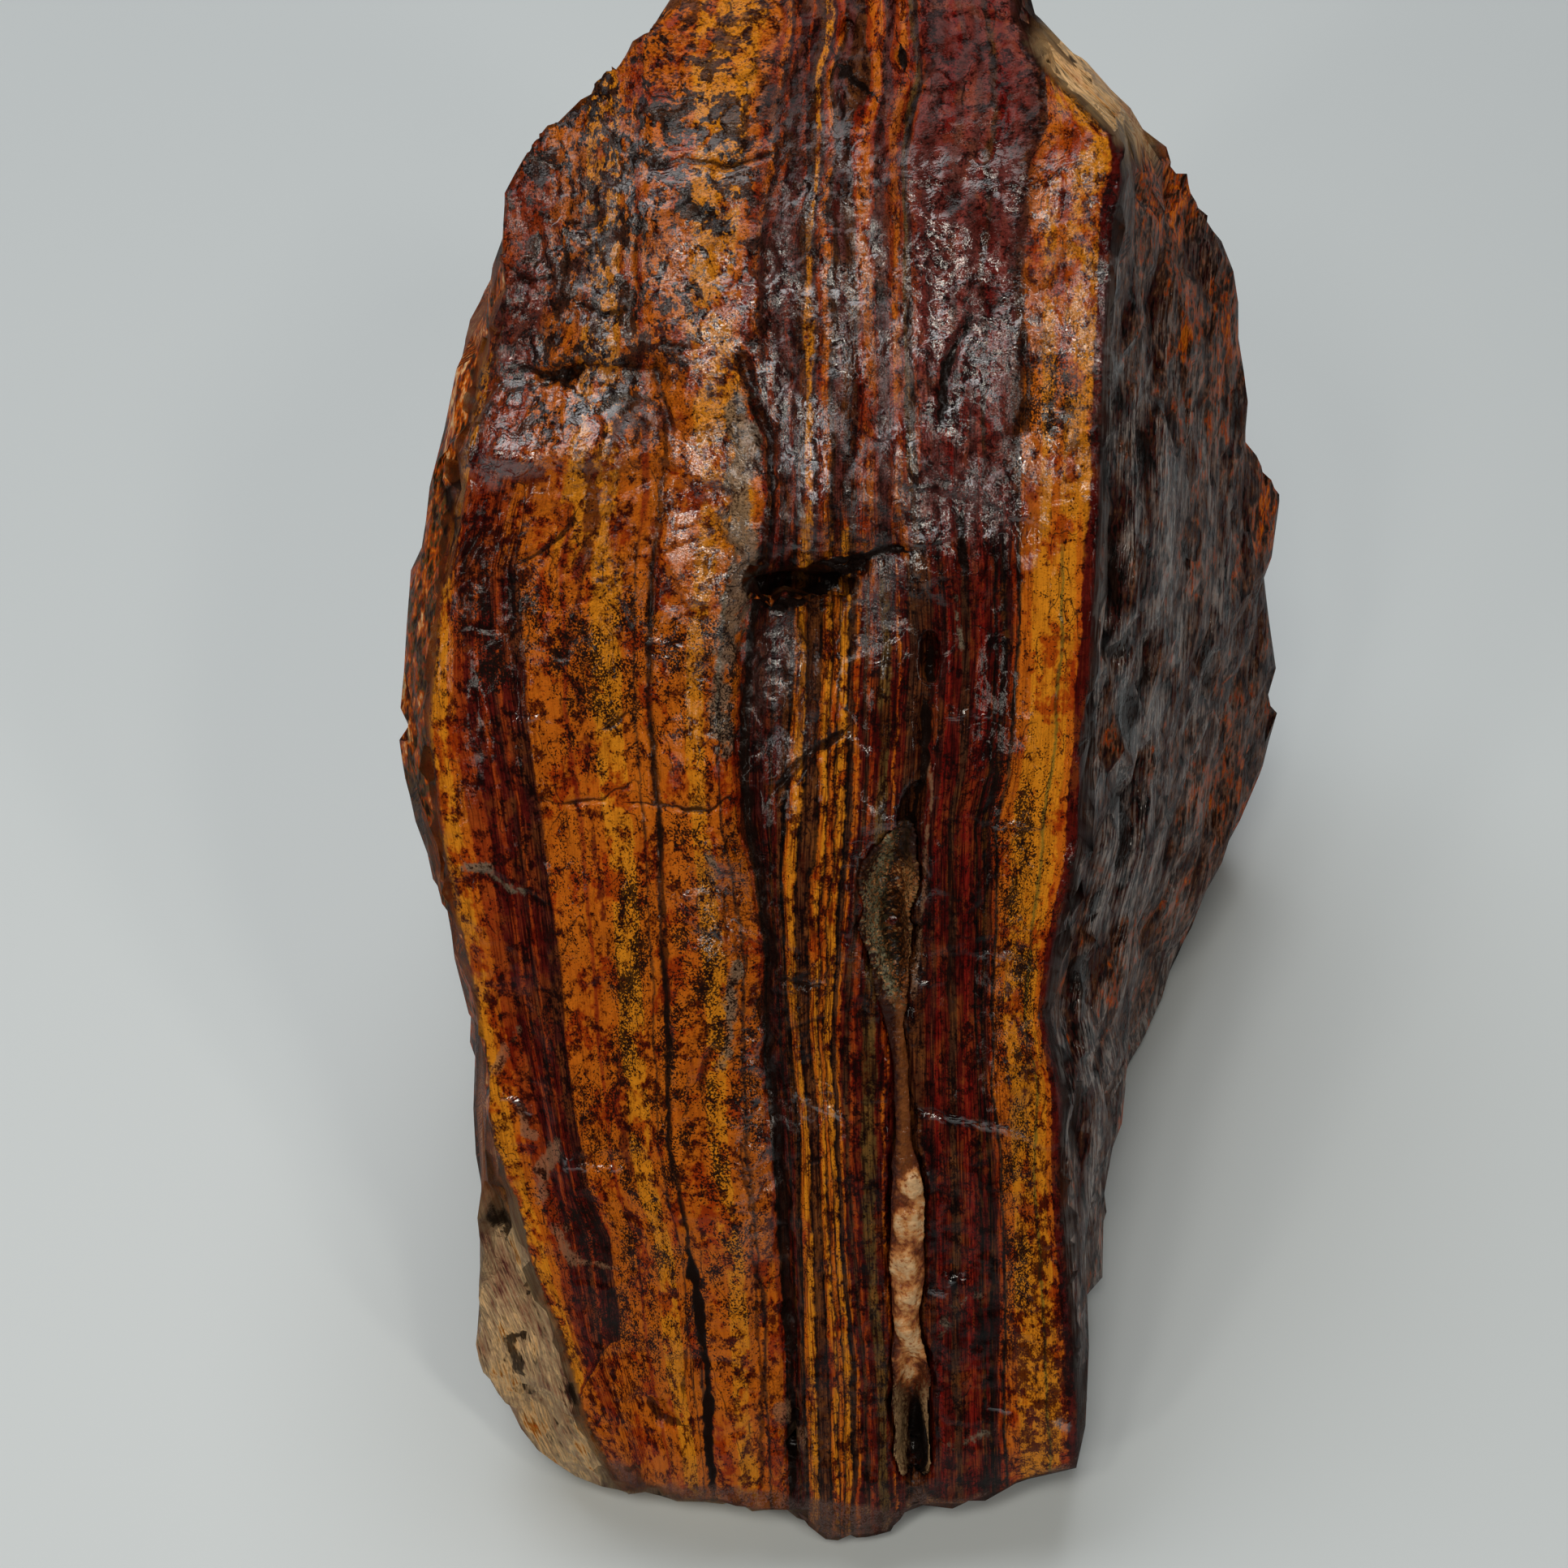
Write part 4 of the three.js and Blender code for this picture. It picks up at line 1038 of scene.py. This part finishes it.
def crack_fields(layout):
    """The nearest crack at each point: which side of it and how far in pixels, its half width, how deep
    in mm it is there, and how dark its painted shade is."""
    x, y, strata = layout.x, layout.y, layout.strata
    count = len(x)
    nearest = np.full(count, np.inf)
    side = np.full(count, NO_CRACK)
    half, deep, dark = np.zeros(count), np.zeros(count), np.zeros(count)
    swell = 1 + 0.8 * value_noise(strata / 2.2, 61) + 0.4 * value_noise(strata / 6, 62)
    bend_x = x + 3 * value_noise(strata / 1.7, 63)
    bend_y = y + 3 * value_noise(strata / 1.7, 64)
    for path, width, depth, shade in CRACKS:
        far, turn = path_distance(bend_x, bend_y, path)
        closer = far / width < nearest
        nearest = np.where(closer, far / width, nearest)
        side = np.where(closer, far * turn, side)
        half = np.where(closer, np.clip(0.5 * width * swell, 0, width), half)
        share = np.exp(-(far / (0.7 * width)) ** 2) * np.clip(swell, 0.3, 1.3)
        deep = np.maximum(deep, depth * share)
        dark = np.where(closer, shade * (far < 4 * width), dark)
    return side, half, deep, dark


def roughen(mesh, layout):
    points, normals = points_of(mesh), normals_of(mesh)
    x, y, strata, front = layout.x, layout.y, layout.strata, layout.front
    rough = 0.14 + 0.86 * zone_share(x, y, "rough")
    lift = front * rough * chipped(strata, FRONT_CHIPS)
    lift += front * 0.25 * chips(strata / (3.2, 34, 30), 77)
    lift += (0.12 + 0.25 * rough) * fractal(strata / (3, 6, 4), 11, 3)
    lift += front * 0.8 * fractal(strata / (16, 26, 20), 19, 2)
    lift += (1 - front) * chipped(strata, SIDE_CHIPS)
    lift += (1 - front) * (0.5 - 2.4 * np.abs(fractal(strata / (1.8, 12, 6), 55, 3)))
    lift += 0.7 * rim_folds(layout)
    lift -= 1.6 * side_pits(layout)
    lift -= front * crack_fields(layout)[2]
    wavy = y + 7 * value_noise(strata / 3.5, 83) + 3 * value_noise(strata / 1.4, 84)
    for path, drop, reach in LEDGES:
        far, turn = path_distance(x, wavy, path)
        lift -= front * drop * smooth_step(-far * turn, -3, 3) * np.exp(-far / reach)
    for cx, cy, half_x, half_y, depth in SCOOPS:
        far = np.hypot((x - cx) / half_x, (wavy - cy) / half_y)
        lift -= front * depth * (1 - smooth_step(far, 0.6, 1.1))
    lift += front * shelf_lift(x, wavy)
    cx, cy, half_x, half_y, height = BREAK_SWELL
    lift += height * (1 - smooth_step(np.hypot((x - cx) / half_x, (y - cy) / half_y), 0.2, 1.1))
    lift *= smooth_step(points[:, 2] / MM, 0.5, 5)
    set_points(mesh, points + normals * lift[:, None] * MM)


# Folds of the right side that follow the rim: from one to the next, and how far from the rim they reach
FOLD_STEP = 36.0
FOLD_REACH = 110.0


def rim_folds(layout):
    """Height from -1 to 1 of the wavy folds that run down the right side beside the rim."""
    strata = layout.strata
    past = layout.x - along(RIGHT_RIM, layout.y)
    bent = past + 9 * value_noise(strata / (3, 13, 9), 171) + 4 * value_noise(strata / (1.5, 5, 4), 172)
    fade = layout.right * smooth_step(past, 0, 8) * (1 - smooth_step(past, 0.5 * FOLD_REACH, FOLD_REACH))
    return fade * np.cos(2 * math.pi * (bent - 6) / FOLD_STEP)


def side_pits(layout):
    """How deep each point lies in a pit of the rough sides, from 0 to 1."""
    scattered = smooth_step(fractal(layout.strata / (4, 9, 7), 57, 3), 0.22, 0.42)
    return (1 - layout.front) * np.maximum(zone_share(layout.x, layout.y, "pit"), 0.8 * scattered)


# The shelf on the upper left: its reach across the picture, its riser and its lip, its depth in mm at the
# riser, and how far its lip swells out above the face below
SHELF = {"left": 596, "right": 822, "riser": 462, "lip": 562, "deep": 1.2, "swell": 1.8, "below": 70}


def shelf_lift(x, y):
    inside = smooth_step(x, SHELF["left"] - 14, SHELF["left"] + 14)
    inside *= 1 - smooth_step(x, SHELF["right"] - 5, SHELF["right"] + 5)
    rise = (SHELF["lip"] - y) / (SHELF["lip"] - SHELF["riser"])
    sink = -SHELF["deep"] * np.clip(rise, 0, 1) * (1 - smooth_step(rise, 1.0, 1.12))
    below = (y - SHELF["lip"]) / SHELF["below"]
    swell = SHELF["swell"] * np.where(below > 0, np.exp(-3 * below), np.clip(1 - rise, 0, 1))
    return inside * (sink + swell)


# Lumps of grit to a mm along the layers, down the stone and into it, on the front and on the sides
GRIT_FRONT = np.array([2.4, 2.4, 2.4])
GRIT_SIDE = np.array([1.3, 0.34, 0.30])


# How streaky the bands are, as (place in the stack, share) points
STREAKS = [(543, 0.3), (590, 0.5), (612, 0.9), (665, 0.9), (675, 0.22), (905, 0.22), (915, 0.9),
           (1250, 0.9), (1262, 0.3), (1345, 0.3)]
# How wet the sides get beside the front
SIDE_WET = 0.40


def ripples(strata):
    """The noise whose lines of level the ripples of the water film follow."""
    return value_noise(strata / 3.0, 149) + 0.5 * value_noise(strata / 1.4, 151)


def hair(strata):
    return value_noise(strata / (2.6, 7, 5), 137) + 0.5 * value_noise(strata / (1.3, 3, 2), 138)


def mark(mesh, layout):
    x, y, front, strata = layout.x, layout.y, layout.front, layout.strata
    warp = 9 * fractal(strata / (10, 28, 20), 101, 3) + 4 * fractal(strata / (1.8, 7, 4), 103, 2)
    warp += 16 * zone_share(x, y, "wavy") * fractal(strata / (4, 9, 8), 105, 3) + around_eyes(x, y)
    spread = smooth_step(y - along(FOLD_LINE, x) + 7 * value_noise(strata / 2, 106), -5, 9)
    warp += spread * np.maximum(0, FOLD_PLACE - layout.place)
    side_share = (1 - front)[:, None]
    streak = value_noise(strata / (1.1, 20, 6), 107)
    dense = fractal(strata / (2.4, 5.5, 3), 109, 3)
    clusters = smooth_step(fractal(strata / (5, 6, 5), 113, 3), -0.25, 0.15)
    grains = zone_share(x, y, "grains")
    glint = np.clip(zone_share(x, y, "glint"), 0, 1)
    film = clusters * (0.06 + 0.94 * glint)
    frost = zone_share(x, y, "frost", 0.6) * smooth_step(fractal(strata / (2.5, 3, 3), 115, 2), -0.2, 0.2)
    damp = 0.10 + 0.8 * zone_share(x, y, "damp")
    bead = bead_lift(x, y, strata) * front
    crown = 0.9 * smooth_step(y, 40, 300)
    shine = smooth_step(fractal(strata / (1.6, 7, 5), 173, 3, 0.6) + 0.3 * rim_folds(layout), -0.35, 0.25)
    blotch = zone_share(x, y, "blotch", 0.6)
    veil = smooth_step(value_noise(strata / (1.4, 12, 4), 139), -0.5, 0.4)
    side, half, _, dark = crack_fields(layout)
    in_crack = smooth_step(half - np.abs(side), -1, 2) * dark
    front_wet = np.clip(0.05 + crown * np.maximum(film, frost) + bead, 0, 1) * (1 - 0.9 * in_crack)
    fields = {
        "strata": strata,
        "place": layout.place + warp,
        "lower": smooth_step(y + 60 * streak, 640, 700),
        "cloud": fractal(strata / (2.6, 5, 4), 127, 4, 0.6),
        "streaky": along(STREAKS, layout.place) * smooth_step(y, 0, 700),
        "grit_at": strata * (GRIT_FRONT + side_share * (GRIT_SIDE - GRIT_FRONT)),
        "side": 1 - front,
        # Where painted shade darkens the crevices: the rough places and the sides
        "crevice_shade_zone": np.maximum(zone_share(x, y, "rough"), 1 - front) * (1 - 0.8 * layout.broken),
        "patch": fractal(strata / (2.8, 4, 3.4), 131, 5, 0.7) - 0.11 + 0.18 * blotch,
        "hue": fractal(strata / (4, 5, 4), 133, 4, 0.6),
        "blotch": blotch * front,
        "mottle": fractal(strata / (1.8, 2.8, 2.2), 135, 3, 0.7) + 0.3 * zone_share(x, y, "dull")
                  - 0.4 * zone_share(x, y, "clear"),
        "spatter": np.clip(smooth_step(dense, -0.5, 0.6) * (0.25 + 0.75 * grains) + 0.2 * grains, 0, 1),
        "thread": line_distance(hair, strata, 1.0),
        "threads": smooth_step(dense + 0.4 * grains, -0.15, 0.25),
        # Mauve veil: partly painted milky sheen
        "mauve": zone_share(x, y, "mauve") * front * veil,
        "worm": line_distance(ripples, strata, 1.0),
        "film": film,
        "frost": frost,
        # Painted shade: the clump drops to darker colours in the troughs of the folds beside the right rim
        "clump": 0.46 + 0.5 * fractal(strata / (1.8, 7, 5), 157, 5, 0.62) + 0.18 * zone_share(x, y, "ochre")
                 + 0.10 * np.minimum(rim_folds(layout), 0),
        # The rim of the foot, partly painted as a reflection of the floor
        "foot": smooth_step(y - along(FOOT_LINE, x) + 5 * value_noise(strata / 2, 159), -3, 4) * front,
        "rough": np.maximum(zone_share(x, y, "rough"), 1 - front),
        "bead": bead,
        "wet": front * front_wet + (1 - front) * SIDE_WET * damp * shine,
        # Where painted sheen streaks lie on the right side
        "painted_sheen_streaks": layout.right * (damp + 0.1) * shine,
        "pit": side_pits(layout),
        "crack_side": side,
        "crack_half": half,
        "crack_shade": dark * front,
        "right_side": layout.right,
        "left_side": layout.left,
        "broken": layout.broken,
        "pale_facet": layout.facet,
        # Painted sheen on the pale facet, strongest at its top
        "sheen": 0.25 * smooth_step(y, 160, 60),
    }
    for kind in STROKES:
        fields[kind] = stroke_share(x, y, kind, strata) * front
    for name, values in fields.items():
        store(mesh, name, values)


# ---------------------------------------------------------------- the crust
CRUST_VOXEL = 0.30 * MM


# The seam in the picture: its middle and half width in pixels at some rows
SEAM_ROWS = [1031, 1090, 1140, 1190, 1250, 1330, 1437, 1500, 1600, 1700, 1780, 1846]
SEAM_MIDDLE = [1108, 1098, 1100, 1108, 1116, 1118, 1118, 1120, 1121, 1124, 1128, 1128]
SEAM_HALF = [16, 36, 38, 30, 17, 13, 17, 25, 26, 24, 28, 26]
# Half width of the open slot at the foot, as (y, share of the seam's half width) points
SLOT_HALF = [(1712, 0.0), (1770, 0.26), (1850, 0.32)]
# The pale knobs of the seam: centre and half sizes in the picture
PALE_KNOBS = [(1124, 1458, 18, 18), (1131, 1502, 12, 30), (1114, 1508, 9, 22), (1112, 1560, 25, 22),
              (1119, 1603, 20, 20), (1110, 1636, 12, 15), (1128, 1653, 16, 26), (1118, 1690, 14, 18)]


def pale_knobs(x, y):
    """How high each picture point lies on the pale knobs, which run into each other, from 0 to 1."""
    height = np.zeros(len(x))
    for cx, cy, half_x, half_y in PALE_KNOBS:
        height += np.exp(-1.6 * (((x - cx) / half_x) ** 2 + ((y - cy) / half_y) ** 2))
    return 1 - np.exp(-2 * height)


def make_crust():
    piece = remeshed("seam_crust", node_mesh("quartz_crust"), CRUST_VOXEL)
    mesh = piece.data
    points, normals = relaxed(points_of(mesh), edges_of(mesh), 3), normals_of(mesh)
    x, y, _ = picture(points)
    spot = points / MM
    across = (x - np.interp(y, SEAM_ROWS, SEAM_MIDDLE)) / np.interp(y, SEAM_ROWS, SEAM_HALF)
    knobby = smooth_step(y, 1425, 1470) * (1 - smooth_step(y, 1690, 1730))
    druse = 1 - smooth_step(y, 1230, 1270)
    bent_x, bent_y = x + 8 * value_noise(spot / 2.2, 181), y + 8 * value_noise(spot / 2.2, 182)
    knob = 0.75 * pale_knobs(bent_x, bent_y) + 0.25 * knobs(spot / 1.3, 9)
    lift = 2.2 * knobby * (knob - 0.4)
    lift += druse * (1.5 * knobs(spot / 1.9, 13) - 0.6) + 0.2 * chips(spot / 1.2, 17)
    lift += 0.3 * fractal(spot / 2.5, 27, 3)
    narrow = along(SLOT_HALF, y)
    slot = smooth_step(y, 1712, 1735) * (1 - smooth_step(np.abs(across - 0.1), narrow, narrow + 0.22))
    lift -= 2.0 * slot
    cave = smooth_step(y, 1085, 1110) * (1 - smooth_step(y, 1180, 1215))
    cave *= 1 - smooth_step(np.hypot((across - 0.05) / 0.5, (y - 1145) / 60), 0.5, 1.2)
    lift -= 1.8 * cave
    lift *= np.clip(facing_camera(points, normals), 0, 1)
    set_points(mesh, points + normals * lift[:, None] * MM)
    top = 1 - smooth_step(y, 1045, 1075)
    store(mesh, "strata", spot)
    store(mesh, "row", y)
    store(mesh, "across", across)
    store(mesh, "knob", knob)
    # Where painted shade makes the crust near black: the slot, the cave and the top of the vug
    store(mesh, "hollow_shade", np.clip(slot + 0.45 * cave + 0.9 * top * smooth_step(across, -0.2, 0.2), 0, 1))
    dress(mesh, quartz_material())
    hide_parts("quartz_crust")
    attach(piece, "root")


make_camera()
make_stage()
make_lights()
make_jasper()
make_crust()
